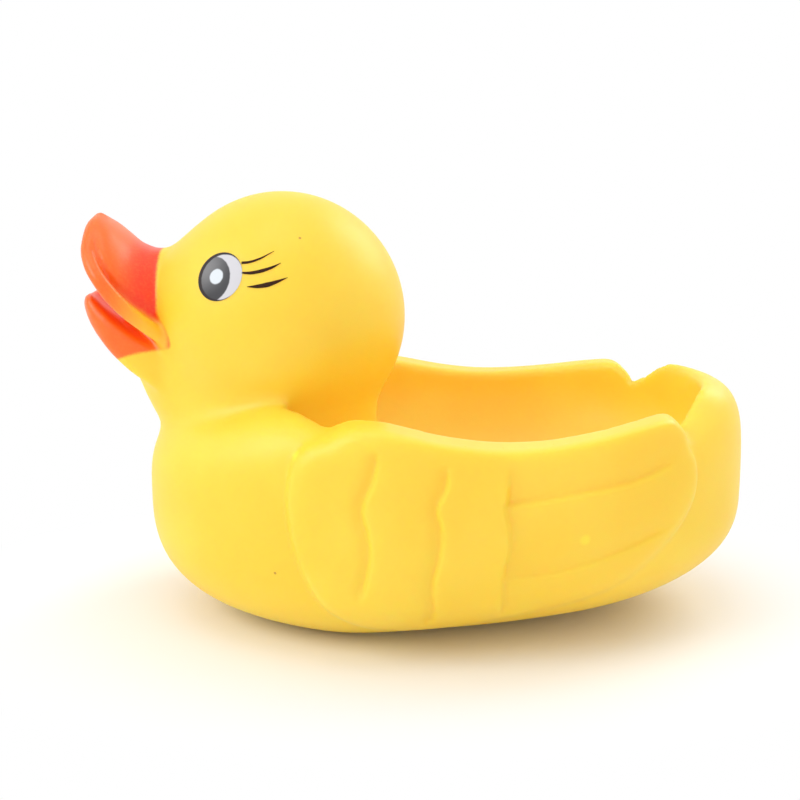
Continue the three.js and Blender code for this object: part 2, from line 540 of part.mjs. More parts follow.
// Merges edges of the mesh, first those that move the surface least, until it is down to a triangle count
function thinOut({ positions, triangles }, target) {
  const count = positions.length / 3;
  const point = Array.from({ length: count }, (_, i) => new THREE.Vector3().fromArray(positions, 3 * i));
  const faceCount = triangles.length / 3;
  const faces = Array.from({ length: faceCount }, (_, i) => [...triangles.subarray(3 * i, 3 * i + 3)]);
  const facesOf = Array.from({ length: count }, () => new Set());
  const error = Array.from({ length: count }, () => new Float64Array(10));
  const stamp = new Uint32Array(count);
  const edgeA = new THREE.Vector3();
  const edgeB = new THREE.Vector3();
  const faceNormal = (a, b, c) => edgeA.subVectors(b, a).cross(edgeB.subVectors(c, a));

  faces.forEach((face, index) => {
    const normal = faceNormal(...face.map((v) => point[v])).clone();
    const area = normal.length() / 2;
    if (area > 0) normal.normalize();
    const offset = -normal.dot(point[face[0]]);
    const row = [normal.x, normal.y, normal.z, offset];
    let at = 0;
    for (let m = 0; m < 4; m += 1) {
      for (let n = m; n < 4; n += 1) {
        for (const v of face) error[v][at] += area * row[m] * row[n];
        at += 1;
      }
    }
    for (const v of face) facesOf[v].add(index);
  });

  const errorAt = (q, { x, y, z }) => q[0] * x * x + 2 * q[1] * x * y + 2 * q[2] * x * z + 2 * q[3] * x
    + q[4] * y * y + 2 * q[5] * y * z + 2 * q[6] * y + q[7] * z * z + 2 * q[8] * z + q[9];
  const matrix = new THREE.Matrix3();
  const bestPoint = (q, a, b) => {
    const candidates = [a.clone(), b.clone(), a.clone().lerp(b, 0.5)];
    matrix.set(q[0], q[1], q[2], q[1], q[4], q[5], q[2], q[5], q[7]);
    const scale = (q[0] + q[4] + q[7]) / 3;
    if (Math.abs(matrix.determinant()) > 1e-5 * scale ** 3) {
      const exact = new THREE.Vector3(-q[3], -q[6], -q[8]).applyMatrix3(matrix.invert());
      if (exact.distanceTo(candidates[2]) < 2 * a.distanceTo(b)) candidates.push(exact);
    }
    return candidates.reduce((best, p) => (errorAt(q, p) < errorAt(q, best) ? p : best), candidates[0]);
  };
  const heap = new CostHeap();
  const offer = (a, b) => {
    const q = error[a].map((value, i) => value + error[b][i]);
    const target3 = bestPoint(q, point[a], point[b]);
    const cost = errorAt(q, target3) + 1e-6 * point[a].distanceToSquared(point[b]);
    heap.push({ cost, a, b, to: target3, q, stampA: stamp[a], stampB: stamp[b] });
  };
  const neighbours = (v) => {
    const found = new Set();
    for (const f of facesOf[v]) for (const w of faces[f]) if (w !== v) found.add(w);
    return found;
  };
  for (let a = 0; a < count; a += 1) for (const b of neighbours(a)) if (a < b) offer(a, b);

  const corners = [new THREE.Vector3(), new THREE.Vector3(), new THREE.Vector3()];
  const before = new THREE.Vector3();
  const keepsItsFaces = (from, other, to) => {
    for (const f of facesOf[from]) {
      if (faces[f].includes(other)) continue;
      before.copy(faceNormal(...faces[f].map((v) => point[v])));
      faces[f].forEach((v, n) => corners[n].copy(v === from ? to : point[v]));
      const after = faceNormal(...corners);
      if (after.length() < 1e-4 || before.dot(after) < 0.3 * before.length() * after.length()) return false;
    }
    return true;
  };

  let left = faces.length;
  while (left > target && heap.items.length > 0) {
    const { a, b, to, q, stampA, stampB } = heap.pop();
    if (stamp[a] !== stampA || stamp[b] !== stampB) continue;
    if (facesOf[a].size === 0 || facesOf[b].size === 0) continue;
    const around = neighbours(b);
    const shared = [...neighbours(a)].filter((v) => around.has(v));
    if (shared.length !== 2 || !keepsItsFaces(a, b, to) || !keepsItsFaces(b, a, to)) continue;
    point[a] = to;
    error[a] = q;
    for (const f of [...facesOf[b]]) {
      if (faces[f].includes(a)) {
        for (const v of faces[f]) facesOf[v].delete(f);
        left -= 1;
      } else {
        faces[f] = faces[f].map((v) => (v === b ? a : v));
        facesOf[a].add(f);
      }
    }
    facesOf[b].clear();
    stamp[a] += 1;
    stamp[b] += 1;
    for (const v of neighbours(a)) offer(a, v);
  }

  const kept = [...new Set(facesOf.flatMap((set) => [...set]))];
  const indexOf = new Map();
  const place = [];
  for (const f of kept) {
    for (const v of faces[f]) {
      if (indexOf.has(v)) continue;
      indexOf.set(v, indexOf.size);
      place.push(...point[v].toArray());
    }
  }
  const geometry = new THREE.BufferGeometry();
  geometry.setAttribute("position", new THREE.Float32BufferAttribute(place, 3));
  geometry.setIndex(kept.flatMap((f) => faces[f].map((v) => indexOf.get(v))));
  return geometry;
}

// Solids to join and cut
const wasm = await Module();
wasm.setup();

function toSolid(geometry) {
  const bare = geometry.clone();
  bare.deleteAttribute("normal");
  bare.deleteAttribute("uv");
  const merged = mergeVertices(bare, 1e-5);
  return new wasm.Manifold(new wasm.Mesh({
    numProp: 3,
    vertProperties: Float32Array.from(merged.attributes.position.array),
    triVerts: Uint32Array.from(merged.index.array),
  }));
}

function toGeometry(solid) {
  const mesh = solid.getMesh();
  const geometry = new THREE.BufferGeometry();
  geometry.setAttribute("position", new THREE.BufferAttribute(mesh.vertProperties, 3));
  geometry.setIndex(new THREE.BufferAttribute(mesh.triVerts, 1));
  geometry.computeVertexNormals();
  return geometry;
}

// A turned piece about an upright axis, from its closed profile of (radius, height) points
function turned(points) {
  const loop = [...points, points[0]].map(([radius, height]) => new THREE.Vector2(radius, height));
  return new THREE.LatheGeometry(loop, ROUND_STEPS).rotateX(Math.PI / 2);
}

function disc(radius, bottom, top) {
  return turned([[0, bottom], [radius, bottom], [radius, top], [0, top]]);
}

function upright(shape, height, bottom) {
  return new THREE.ExtrudeGeometry(shape, { depth: height, bevelEnabled: false, curveSegments: ROUND_STEPS / 2 })
    .translate(0, 0, bottom);
}

// Everything below a height, to cut a flat underside
function below(height) {
  const block = new THREE.BoxGeometry(2 * BLOCK_SIZE, 2 * BLOCK_SIZE, BLOCK_SIZE);
  return toSolid(block.translate(0, 0, height - BLOCK_SIZE / 2));
}

// The vinyl duck: the outside less its hollow, with a collar and a bore for the whistle
function duckBody() {
  const side = HULL_HALF_WIDTH + WING_THICK;
  const box = new THREE.Box3(
    new THREE.Vector3(Math.min(BILL_TIP, HULL_X - HULL_FRONT), -side, 0),
    new THREE.Vector3(HULL_X + HULL_BACK, side, HEAD_CENTRE[2] + HEAD_RADII[2]),
  ).expandByScalar(SAMPLE_MARGIN);
  const grid = sampleGrid(duck, box, CELL);
  const outside = toSolid(thinOut(levelSurface(grid, 0), OUTER_TRIANGLES)).subtract(below(0));
  const inside = toSolid(thinOut(levelSurface(grid, -WALL), INNER_TRIANGLES)).subtract(below(WALL));
  const larger = (a, b) => (a.volume() > b.volume() ? a : b);
  const hollow = inside.decompose().reduce(larger);
  const collar = toSolid(disc(BORE_RADIUS + COLLAR_WALL, WALL / 2, COLLAR_TOP).translate(WHISTLE_X, 0, 0));
  const bore = toSolid(disc(BORE_RADIUS, -WALL, COLLAR_TOP + WALL).translate(WHISTLE_X, 0, 0));
  return toGeometry(outside.subtract(hollow).add(collar).subtract(bore));
}

// The whistle: a cup pressed up the bore, and a plug in it that holds a thin reed beside the air channel
const HOUSING_RADIUS = BORE_RADIUS - FIT_GAP;
const CHAMBER_RADIUS = HOUSING_RADIUS - HOUSING_WALL;

function whistleHousing() {
  const lip = BORE_RADIUS + HOUSING_FLANGE_LIP;
  const flangeBottom = COLLAR_TOP + FIT_GAP;
  const top = flangeBottom + HOUSING_FLANGE;
  const floor = HOUSING_RECESS + HOUSING_FLOOR;
  return turned([[AIR_HOLE_RADIUS, HOUSING_RECESS], [HOUSING_RADIUS, HOUSING_RECESS],
    [HOUSING_RADIUS, flangeBottom], [lip, flangeBottom], [lip, top], [CHAMBER_RADIUS, top],
    [CHAMBER_RADIUS, floor], [AIR_HOLE_RADIUS, floor]]);
}

const PLUG_BOTTOM = HOUSING_RECESS + HOUSING_FLOOR + FIT_GAP;
const PLUG_TOP = COLLAR_TOP + HOUSING_FLANGE;
const PLUG_RADIUS = CHAMBER_RADIUS - FIT_GAP;
const REED_PLANE = REED_THICKNESS / 2 + FIT_GAP;

// One half of the plug; the half with the channel lets the air past the reed
function whistlePlugHalf(withChannel) {
  const half = new THREE.Shape();
  const start = Math.asin(REED_PLANE / PLUG_RADIUS);
  const channel = REED_WIDTH / 2 - CHANNEL_LAND;
  half.moveTo(PLUG_RADIUS * Math.cos(start), REED_PLANE);
  half.absarc(0, 0, PLUG_RADIUS, start, Math.PI - start, false);
  if (withChannel) {
    half.lineTo(-channel, REED_PLANE);
    half.lineTo(-channel, REED_PLANE + CHANNEL_DEPTH);
    half.lineTo(channel, REED_PLANE + CHANNEL_DEPTH);
    half.lineTo(channel, REED_PLANE);
  }
  return upright(half, PLUG_TOP - PLUG_BOTTOM, PLUG_BOTTOM);
}

function whistleReed() {
  const height = PLUG_TOP - PLUG_BOTTOM - 2 * REED_INSET;
  const middle = (PLUG_BOTTOM + PLUG_TOP) / 2;
  return new THREE.BoxGeometry(REED_WIDTH, REED_THICKNESS, height).translate(0, 0, middle);
}

// The scene
const vinyl = new THREE.MeshStandardMaterial({ color: "#ffdc46", roughness: 0.42, metalness: 0 });
const whitePlastic = new THREE.MeshStandardMaterial({ color: "#f2f1ec", roughness: 0.4, metalness: 0 });
const ivoryPlastic = new THREE.MeshStandardMaterial({ color: "#e4e2d8", roughness: 0.4, metalness: 0 });
const clearFilm = new THREE.MeshStandardMaterial({ color: "#d9dcdc", roughness: 0.25, metalness: 0 });

function addPiece(group, name, geometry, material) {
  const mesh = new THREE.Mesh(geometry, material);
  mesh.name = name;
  group.add(mesh);
  return mesh;
}

const part = new THREE.Group();
part.position.x = -(BILL_TIP + HULL_X + HULL_BACK) / 2;
addPiece(part, "duck_body", duckBody(), vinyl);

const whistle = new THREE.Group();
whistle.position.x = WHISTLE_X;
part.add(whistle);
addPiece(whistle, "whistle_housing", whistleHousing(), whitePlastic);
addPiece(whistle, "whistle_plug_channelled", whistlePlugHalf(true), ivoryPlastic);
addPiece(whistle, "whistle_plug_plain", whistlePlugHalf(false), ivoryPlastic).rotation.z = Math.PI;
addPiece(whistle, "whistle_reed", whistleReed(), clearFilm);

export default part;
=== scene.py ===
import math

import bmesh
import bpy
import numpy as np
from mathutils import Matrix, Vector

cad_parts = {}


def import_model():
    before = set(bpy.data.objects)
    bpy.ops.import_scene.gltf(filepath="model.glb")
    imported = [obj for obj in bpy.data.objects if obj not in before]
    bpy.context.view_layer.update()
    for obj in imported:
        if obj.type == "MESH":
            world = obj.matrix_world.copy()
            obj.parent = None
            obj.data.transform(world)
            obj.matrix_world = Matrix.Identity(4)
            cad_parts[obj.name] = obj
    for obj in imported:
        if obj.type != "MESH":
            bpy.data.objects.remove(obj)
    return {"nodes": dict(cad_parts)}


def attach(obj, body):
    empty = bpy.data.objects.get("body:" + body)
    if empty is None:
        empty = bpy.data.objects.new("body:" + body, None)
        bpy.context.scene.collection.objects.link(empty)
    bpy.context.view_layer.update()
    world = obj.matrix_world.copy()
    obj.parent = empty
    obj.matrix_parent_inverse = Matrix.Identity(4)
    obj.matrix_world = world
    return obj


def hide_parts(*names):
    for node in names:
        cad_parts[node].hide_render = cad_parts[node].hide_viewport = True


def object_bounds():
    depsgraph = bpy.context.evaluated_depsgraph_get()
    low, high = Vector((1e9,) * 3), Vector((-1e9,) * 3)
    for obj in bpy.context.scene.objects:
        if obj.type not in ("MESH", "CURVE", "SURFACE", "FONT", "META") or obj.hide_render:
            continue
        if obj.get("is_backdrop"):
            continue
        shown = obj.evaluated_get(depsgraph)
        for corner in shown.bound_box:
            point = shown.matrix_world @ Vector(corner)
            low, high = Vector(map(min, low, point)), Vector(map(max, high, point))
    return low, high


MM = 0.001

# Head
HEAD_CENTRE = (-28.6, 0, 72.3)
HEAD_RADII = (29.8, 29.5, 30.2)
FACE_CENTRE = (-46, 0, 76.4)
FACE_RADII = (17, 16.5, 13.6)
NECK_CENTRE = (-31, 0, 47)
NECK_RADII = (25, 25, 24)
THROAT_PATH = [(-60, 0, 70), (-54.3, 0, 64.9), (-46.2, 0, 57.8), (-36, 0, 51)]
THROAT_RADII = [7.5, 12, 17, 20.5]
FACE_FILLET = 9
THROAT_FILLET = 7
NECK_FILLET = 6

# Bill, in side view (x, z) unless a point has three numbers
BILL_RIDGE = [(-90, 98), (-76, 97.6), (-72.1, 97), (-69.3, 95.6), (-66.5, 93.2), (-63.7, 90.8),
              (-61, 89.6), (-57, 89.2), (-48, 91), (-40, 91)]
BILL_HALF_WIDTH = [(-78, 9), (-75.5, 13), (-73, 16), (-70, 18.8), (-66, 20), (-62.8, 19),
                   (-59.6, 16.9), (-56.8, 14.5), (-53, 12), (-45, 12)]
BILL_ARCH_HEIGHT = 21
BILL_OUTLINE = [(-45, 91), (-57, 89.2), (-61, 89.6), (-66.5, 93.2), (-70.7, 96.3), (-73, 96.6),
                (-74.2, 94.5), (-74.4, 91.2), (-73.9, 88), (-72.2, 84.6), (-69.8, 81.2), (-66.8, 77.6),
                (-63.2, 74), (-60, 71.2), (-56, 68), (-50, 65), (-42, 64), (-38, 80)]
LIP_PATH = [(-72.6, 0, 95.6), (-73, 5.5, 94), (-73, 10, 91.2), (-72.6, 13, 88.6), (-71.1, 16, 85.6),
            (-68.9, 18, 82.6), (-66.2, 18.5, 79.2), (-62.8, 18, 75.6), (-59.6, 16.5, 72.6),
            (-56.8, 14.5, 69.9), (-54, 12, 67.2), (-51, 9.5, 65)]
LIP_RADIUS = 1.7
LIP_GROOVE_PATH = [(-75.5, 0, 99), (-75.4, 7, 97.6), (-74.2, 13, 92.2), (-71.5, 17.2, 87.8),
                   (-67.2, 19.2, 82.8), (-61, 18.8, 77.9), (-57, 17.2, 73.6), (-54.5, 15.6, 70.6)]
LIP_GROOVE_RADIUS = 3.4
PALATE_CENTRE = (-70.5, 0, 75.5)
PALATE_RADII = (13, 15.5, 14.5)
LOWER_BILL_OUTLINE = [(-75.9, 77.8), (-76.6, 75.8), (-75.6, 73), (-73.2, 69.3), (-70.3, 65.8),
                      (-67.2, 62.7), (-62.2, 58.7), (-55, 55), (-46, 60), (-46, 67), (-55, 66),
                      (-60, 67.9), (-66, 71.6), (-70.8, 75.2), (-74.1, 78)]
LOWER_BILL_HALF_WIDTH = [(-79, 2), (-77, 5.5), (-75, 8.5), (-71, 11.6), (-66, 13.4), (-60, 14), (-50, 13)]
SCOOP_CENTRE = (-68, 0, 77)
SCOOP_RADII = (12.5, 8.6, 3.6)
SCOOP_TILT = math.radians(-36)
LOWER_BILL_ROUNDING = 5
ARCH_FILLET = 2
GROOVE_FILLET = 1.6
PALATE_FILLET = 1.2
SCOOP_FILLET = 1.4
MOUTH_FILLET = 0.8
BILL_FILLET = 2
BILL_ROOT = -40
BILL_FLOOR = 45

# Hull; the depths are those of its egg below and above its widest line, and the base is cut flat
HULL_X = 8
HULL_FRONT = 70
HULL_BACK = 76.6
HULL_HALF_WIDTH = 48.5
HULL_DEPTH = 30.8
BASE_CUT = 0.8
UPPER_DEPTH = 85
BREAST_UPPER_DEPTH = 36
HULL_PLAN_POWER = 2.1
HULL_SIDE_POWER = 2.6
BREAST_SIDE_POWER = 2.85
BREAST_START = 30
BREAST_RUN = 80
TAIL_SIDE_POWER = 2.5
TAIL_POWER_START = 40
TAIL_POWER_RUN = 35
TAIL_LIFT = 1.4
TAIL_LIFT_START = 0
TAIL_LIFT_RUN = 40
BREAST_DROP = 2
BREAST_DROP_START = 12
BREAST_DROP_RUN = 30
LIFT_HEIGHT = 34
RIM_HEIGHT = [(-80, 40), (-66, 47), (-58, 50.3), (-50, 51.8), (-40, 53.4), (-30, 55.2), (-24, 55),
              (-17, 52.3), (-11, 50.2), (0, 49.5), (11, 48), (22, 47), (33, 47), (43, 48), (54, 48.5),
              (90, 48.5)]
TAIL_RISE = 9.4
TAIL_HALF_WIDTH = 32
TAIL_SIDE_RUN = 16
TAIL_START = 48
TAIL_RUN = 14
RIM_ROUNDING = 9
SHOULDER_ROUNDING = 7
SHOULDER_START = -10
SHOULDER_RUN = 20
BASE_ROUNDING = 0.5

# The frame's zero lies halfway between the tip of the lower bill and the back of the hull
ORIGIN_X = (min(point[0] for point in LOWER_BILL_OUTLINE) + HULL_X + HULL_BACK) / 2

# Nest in the back, set in from the hull by a rim all round
NEST_X = 19
NEST_TOP = 50
NEST_DEPTH = 27
NEST_FRONT_RIM = 25
NEST_BACK_RIM = 11.1
NEST_SIDE_RIM = 8.5
NEST_POWER = 2.3
NEST_EDGE_ROUNDING = 2.6

# Wings, in side view (x, z)
WING_OUTLINE = [(-16.2, 52), (-10.8, 54.4), (-4.3, 54.5), (0, 53.8), (10.8, 51.6), (21.6, 50.5),
                (32.4, 50.9), (43.3, 52.3), (54.4, 54.3), (59.4, 54.6), (62.6, 52), (64.2, 48), (66, 44.5),
                (66.6, 40), (65.5, 33.8), (61, 26.4), (51.2, 17.5), (40.2, 12.5), (25, 8.5), (8, 4.5),
                (-4.6, 5), (-15.7, 11.5), (-21.9, 22), (-24.4, 31), (-25, 40), (-23.4, 47), (-20, 50.6)]
WING_THIN = 1.2
WING_THICK = 3.2
WING_INNER_LIMIT = 15
WING_THICK_HEIGHT = (20, 22)
WING_THICK_FRONT = (24, 30)
WING_FOOT = 1
WING_FOOT_RUN = 15
WING_EDGE_ROUNDING = 3.5
WING_FRONT_ROUNDING = 7
WING_FRONT = (10, 30)
WING_REAR_ROUNDING = 3
WING_REAR = (10, 20)
WING_REAR_HEIGHT = (24, 16)
WING_FILLET = 1.4
COVERT_GROOVES = [
    [(-4.8, 50.9), (-5.8, 45), (-8.4, 38), (-7, 31.2), (-7.1, 25.1), (-9.3, 15.6)],
    [(9.4, 48.4), (9.4, 43.5), (7.3, 38.2), (8.4, 33.4), (7.9, 26.9), (6.5, 20.6), (6.9, 13.8),
     (5.2, 7.8)],
]
COVERT_GROOVE_DEPTH = 0.95
COVERT_GROOVE_WIDTHS = (1.8, 0.7)
COVERT_FADE = 0.1
COVERT_STEP = [(22.3, 49), (22, 41.3), (21.4, 38.5), (22.5, 33.4), (22.7, 29.3), (21.6, 23),
               (21.7, 15.6), (21.6, 10.1)]
COVERT_STEP_RISE = 0.45
COVERT_STEP_RISE_WIDTH = 4.5
COVERT_STEP_DROP = 1.35
COVERT_STEP_WIDTH = 1.7
COVERT_STEP_RECOVERY = 16
COVERT_STEP_FADE = 0.12
FLIGHT_GROOVES = [
    ([(22.4, 39.1), (30.9, 40.1), (40.9, 41.5), (51.4, 42.9), (61.5, 46.6)], 0.9),
    ([(22, 22.1), (30.9, 22.4), (38.3, 23.8), (49.5, 27), (62, 31.6)], 0.6),
]
FLIGHT_GROOVE_WIDTHS = (2.6, 0.6)
FLIGHT_FADES = (0.03, 0.15)

# Bore for the whistle
WHISTLE_X = -3
BORE_RADIUS = 7
COLLAR_TOP = 6.2
FLANGE_ROOM_RADIUS = 9
FLANGE_ROOM_TOP = 8.2
FLANGE_ROOM_HEIGHT = 2
BORE_EDGE_ROUNDING = 0.4

# Paint on the bill: where it ends in side view (x, z), from the top of the bill to under the chin, where it
# is thin along the lip, and how far from that edge its painted shade, a darker paint near the head, reaches
# on the upper half
BILL_PAINT_EDGE = [(-57.4, 104), (-57.6, 92), (-57.4, 83.4), (-57.1, 78.1), (-56.9, 74.4), (-54.9, 71.3),
                   (-53.8, 67.4), (-56, 66.2), (-59.1, 65.7), (-62.6, 65.1), (-66, 64), (-72, 61.5),
                   (-80, 58)]
PAINT_ROOT = -50
LIP_PAINT_START = 0.3
LIP_PAINT_FADE = 1.4
LIP_THIN_FROM = -68
LIP_THIN_RUN = 10
LIP_THINNEST = 0.85
MOUTH_LINE = [(-80, 84), (-72, 78), (-60, 69), (-50, 62)]
# Painted shade: the bill's paint turns darker within this reach of its edge by the head, above the mouth
PAINTED_SHADE_REACH = (9.5, 3)
PAINTED_SHADE_FADE = 4

# Eye and lashes: places on them are from the middle of the eye, towards the bill and up; a lash's third
# number is its width there
EYE_CENTRE = (-40.33, 24.38, 84.46)
EYE_OFFSET = (0.4, 0.15)
EYE_RADIUS = 5.75
EYE_RINGS = 24
EYE_SPOKES = 96
EYE_LIFT = 0.05
EYE_UV_SPAN = 40
RIM_CENTRE = (-0.15, 0.05)
RIM_RADIUS = 5.3
IRIS_CENTRE = (2.9, -0.7)
IRIS_RADIUS = 5.5
# The iris is painted paler about this point, towards the bill and up: a painted highlight where light falls
IRIS_GLOSS_POINT = (5.5, 2.5)
IRIS_GLOSS_REACH = (9, 1.5)
PUPIL_CENTRE = (1.05, 0)
PUPIL_RADIUS = 1.75
LASHES = [
    [(-4.5, 3.6, 0.65), (-6.5, 4.1, 0.6), (-8.7, 5.4, 0.45), (-10.8, 7.5, 0.1)],
    [(-5.1, 1.3, 0.4), (-7.2, 1.5, 0.75), (-9.4, 2.3, 0.85), (-11.4, 3.5, 0.6), (-12.9, 4.9, 0.1)],
    [(-7.0, -1.75, 0.15), (-9.2, -1.35, 0.85), (-11.2, -0.65, 1.1), (-13.1, 0.45, 0.7), (-14.9, 1.8, 0.1)],
]
LASH_LIFT = 0.05
LAYING_ROUNDS = 8

# Colours, in linear light
VINYL = (0.97, 0.67, 0.055)
VINYL_DEEP = (0.97, 0.63, 0.042)
VENT_COLOUR = (1, 0.78, 0.05)
SPECK_COLOUR = (0.45, 0.2, 0.03)
VENT_SPOTS = [(35.9, -46.8, 30.1), (-26.6, -43.4, 48.1)]
SPECKS = [(-26.6, -20.8, 92.8), (-31.6, -41.9, 20.8)]
BILL_PAINT = (0.93, 0.15, 0.006)
BILL_PAINT_SHADED = (0.92, 0.045, 0.002)
BILL_PAINT_PALE = (0.93, 0.21, 0.035)
SCLERA = (0.6, 0.59, 0.62)
# The paler iris colour is a painted highlight on the iris's upper front
IRIS_GLOSSED = (0.2, 0.2, 0.205)
IRIS_DARK = (0.045, 0.045, 0.05)
PUPIL_COLOUR = (0.66, 0.71, 0.75)
RIM_COLOUR = (0.02, 0.015, 0.015)
LASH_COLOUR = (0.012, 0.005, 0.003)
LASH_THIN_COLOUR = (0.06, 0.02, 0.006)

# Finishes: noise scales are in waves a millimetre, and a bump is its strength and its depth in millimetres
CLOUD_SCALE = 0.035
CLOUD_RANGE = (0.35, 0.65)
VENT_REACH = (1.7, 0.5)
VENT_STRENGTH = 0.8
SPECK_REACH = (0.45, 0.2)
SPECK_STRENGTH = 0.75
SPRAY_SCALE = 2.2
SPRAY_SPREAD = 0.5
SPRAY_EDGE = 0.5
GRAIN_SCALE = 1.6
GRAIN_RANGE = (0.42, 0.72)
GRAIN_STRENGTH = 0.22
VINYL_ROUGHNESS = 0.43
BILL_SMOOTHER_BY = 0.08
VINYL_SPECULAR = 0.5
SUBSURFACE_WEIGHT = 0.5
SUBSURFACE_RADIUS = (1.0, 0.3, 0.05)
SUBSURFACE_SCALE = 0.01
SKIN_SCALE = 0.55
SKIN_SPRAY = 0.25
SKIN_BUMP = (0.12, 0.35)
EYE_ROUGHNESS = 0.45
EYE_SPECULAR = 0.25
EYE_EDGE_SCALE = 0.9
EYE_EDGE_SPREAD = 0.25
EYE_SOFTNESS = 0.15
PUPIL_SOFTNESS = 0.2
IRIS_GLOSS_SCALE = 0.6
LASH_ROUGHNESS = 0.6
LASH_SPECULAR = 0.15
LASH_SCALE = 1.5
PLASTIC_SCALE = 0.3
PLASTIC_RANGE = (0.35, 0.7)
PLASTIC_DARKER = 0.86
PLASTIC_BUMP_SCALE = 3
PLASTIC_BUMP = (0.1, 0.1)
WHITE_PLASTIC = ((0.85, 0.84, 0.8), 0.38)
IVORY_PLASTIC = ((0.74, 0.71, 0.62), 0.42)
FILM_COLOUR = (0.9, 0.92, 0.92)
FILM_ROUGHNESS = 0.2
FILM_TRANSMISSION = 0.7
FILM_IOR = 1.45
FILM_BUMP_SCALE = 1.2
FILM_BUMP = (0.1, 0.1)

# Studio, in metres and watts. Under the duck the floor keeps its shadow, and it turns into the plain white
# of the backdrop between the two reaches, which are shares of the shadow's radii
FLOOR_SIZE = 6
FLOOR_COLOUR = (0.9, 0.9, 0.9)
FLOOR_ROUGHNESS = 0.85
SHADOW_RADII = (0.087, 0.059)
FLOOR_CLEAR_REACH = (0.9, 1.5)
WORLD_STRENGTH = 0.88
LIGHT_AIM = (0, 0, 0.04)
LIGHTS = [
    ("key", 0.6, (-0.75, -0.35, 0.6), 3.2),
    ("back", 0.6, (0.55, 0.45, 0.6), 2.4),
    ("top", 0.5, (-0.1, -0.1, 0.9), 0.8),
]

# Mesh: a coarse grid finds the band near the surface, and only that is sampled on the fine cells. The bill
# and what lies within the wide width of the wings' lines are split once, and within the narrow one twice
CELL = 1.35
FINE_WIDTHS = (2.6, 1.1)
FINE_BILL = (-52, 56)
COARSE = 4
BAND = 3.4
BOX_LOW = (-82, 0, -4)
BOX_HIGH = (90, 56, 108)
CURVE_STEPS = 4
CHUNK = 100000
GRADIENT_STEP = 0.05
LEAST_SLOPE = 0.2
LONGEST_SHIFT = 0.5
LINES_DEPTH = 1
RELIEF_MARGIN = 3

# Camera: how far away, how high it looks from, and the point it looks at
CAMERA_DISTANCE = 300
CAMERA_PITCH = math.radians(12)
CAMERA_AIM = (0, 0, 51)
CAMERA_LENS = 54
CAMERA_SENSOR = 36


# Smooth joins and cuts: each takes the distances to two forms and the width of the fillet between them
def join(a, b, fillet):
    h = np.maximum(fillet - np.abs(a - b), 0) / fillet
    return np.minimum(a, b) - h * h * h * fillet / 6


def common(a, b, fillet):
    return -join(-a, -b, fillet)


def ease(t):
    s = np.clip(t, 0, 1)
    return s * s * (3 - 2 * s)


def profile(points):
    """A height that runs smoothly through the given points."""
    xs = np.array([p[0] for p in points], float)
    ys = np.array([p[1] for p in points], float)
    slopes = np.diff(ys) / np.diff(xs)
    tangents = np.empty(len(xs))
    tangents[0], tangents[-1] = slopes[0], slopes[-1]
    before, after = np.diff(xs)[:-1], np.diff(xs)[1:]
    tangents[1:-1] = (slopes[:-1] * after + slopes[1:] * before) / (before + after)

    def height(value):
        x = np.clip(value, xs[0], xs[-1])
        i = np.clip(np.searchsorted(xs, x) - 1, 0, len(xs) - 2)
        run = xs[i + 1] - xs[i]
        t = (x - xs[i]) / run
        t2, t3 = t * t, t * t * t
        start = (2 * t3 - 3 * t2 + 1) * ys[i] + (t3 - 2 * t2 + t) * run * tangents[i]
        return start + (3 * t2 - 2 * t3) * ys[i + 1] + (t3 - t2) * run * tangents[i + 1]

    return height


def curve_points(points, closed=False):
    """Short straight runs along a smooth curve through points."""
    p = np.array(points, float)
    if closed:
        p = np.vstack([p[-1:], p, p[:2]])
    else:
        p = np.vstack([2 * p[:1] - p[1:2], p, 2 * p[-1:] - p[-2:-1]])
    out = []
    for a, b, c, d in zip(p, p[1:], p[2:], p[3:]):
        for t in np.arange(CURVE_STEPS) / CURVE_STEPS:
            out.append(0.5 * (2 * b + (c - a) * t + (2 * a - 5 * b + 4 * c - d) * t ** 2
                              + (3 * b - a - 3 * c + d) * t ** 3))
    out.append(p[-2])
    return np.array(out)


def nearest_on_line(line, x, z):
    """How far points in side view are from a line, on which side of it, and how far along."""
    best = np.full(x.shape, np.inf)
    side = np.ones(x.shape)
    along = np.zeros(x.shape)
    runs = len(line) - 1
    for i in range(runs):
        (ax, az), (dx, dz) = line[i], line[i + 1] - line[i]
        u, w = x - ax, z - az
        t = np.clip((u * dx + w * dz) / (dx * dx + dz * dz), 0, 1)
        distance = np.hypot(u - t * dx, w - t * dz)
        nearer = distance < best
        best = np.where(nearer, distance, best)
        side = np.where(nearer, np.sign(dx * w - dz * u), side)
        along = np.where(nearer, (i + t) / runs, along)
    return best, side, along


def inside_outline(line, x, z):
    inside = np.zeros(x.shape, bool)
    for a, b in zip(line, line[1:]):
        if a[1] == b[1]:
            continue
        crosses = (a[1] > z) != (b[1] > z)
        inside ^= crosses & (x < (b[0] - a[0]) * (z - a[1]) / (b[1] - a[1]) + a[0])
    return inside


def outline_distance(line, x, z):
    distance = nearest_on_line(line, x, z)[0]
    return np.where(inside_outline(line, x, z), -distance, distance)


def tube_distance(path, radii, x, y, z):
    best = np.full(x.shape, np.inf)
    for a, b, ra, rb in zip(path, path[1:], radii, radii[1:]):
        dx, dy, dz = b - a
        u, v, w = x - a[0], y - a[1], z - a[2]
        t = np.clip((u * dx + v * dy + w * dz) / (dx * dx + dy * dy + dz * dz), 0, 1)
        distance = np.sqrt((u - t * dx) ** 2 + (v - t * dy) ** 2 + (w - t * dz) ** 2)
        best = np.minimum(best, distance - ra - t * (rb - ra))
    return best


def ellipsoid_distance(centre, radii, x, y, z):
    u, v, w = ((p - c) / r for p, c, r in zip((x, y, z), centre, radii))
    reach = np.sqrt(u * u + v * v + w * w)
    slope = np.sqrt((u / radii[0]) ** 2 + (v / radii[1]) ** 2 + (w / radii[2]) ** 2)
    return reach * (reach - 1) / (slope + 1e-9)


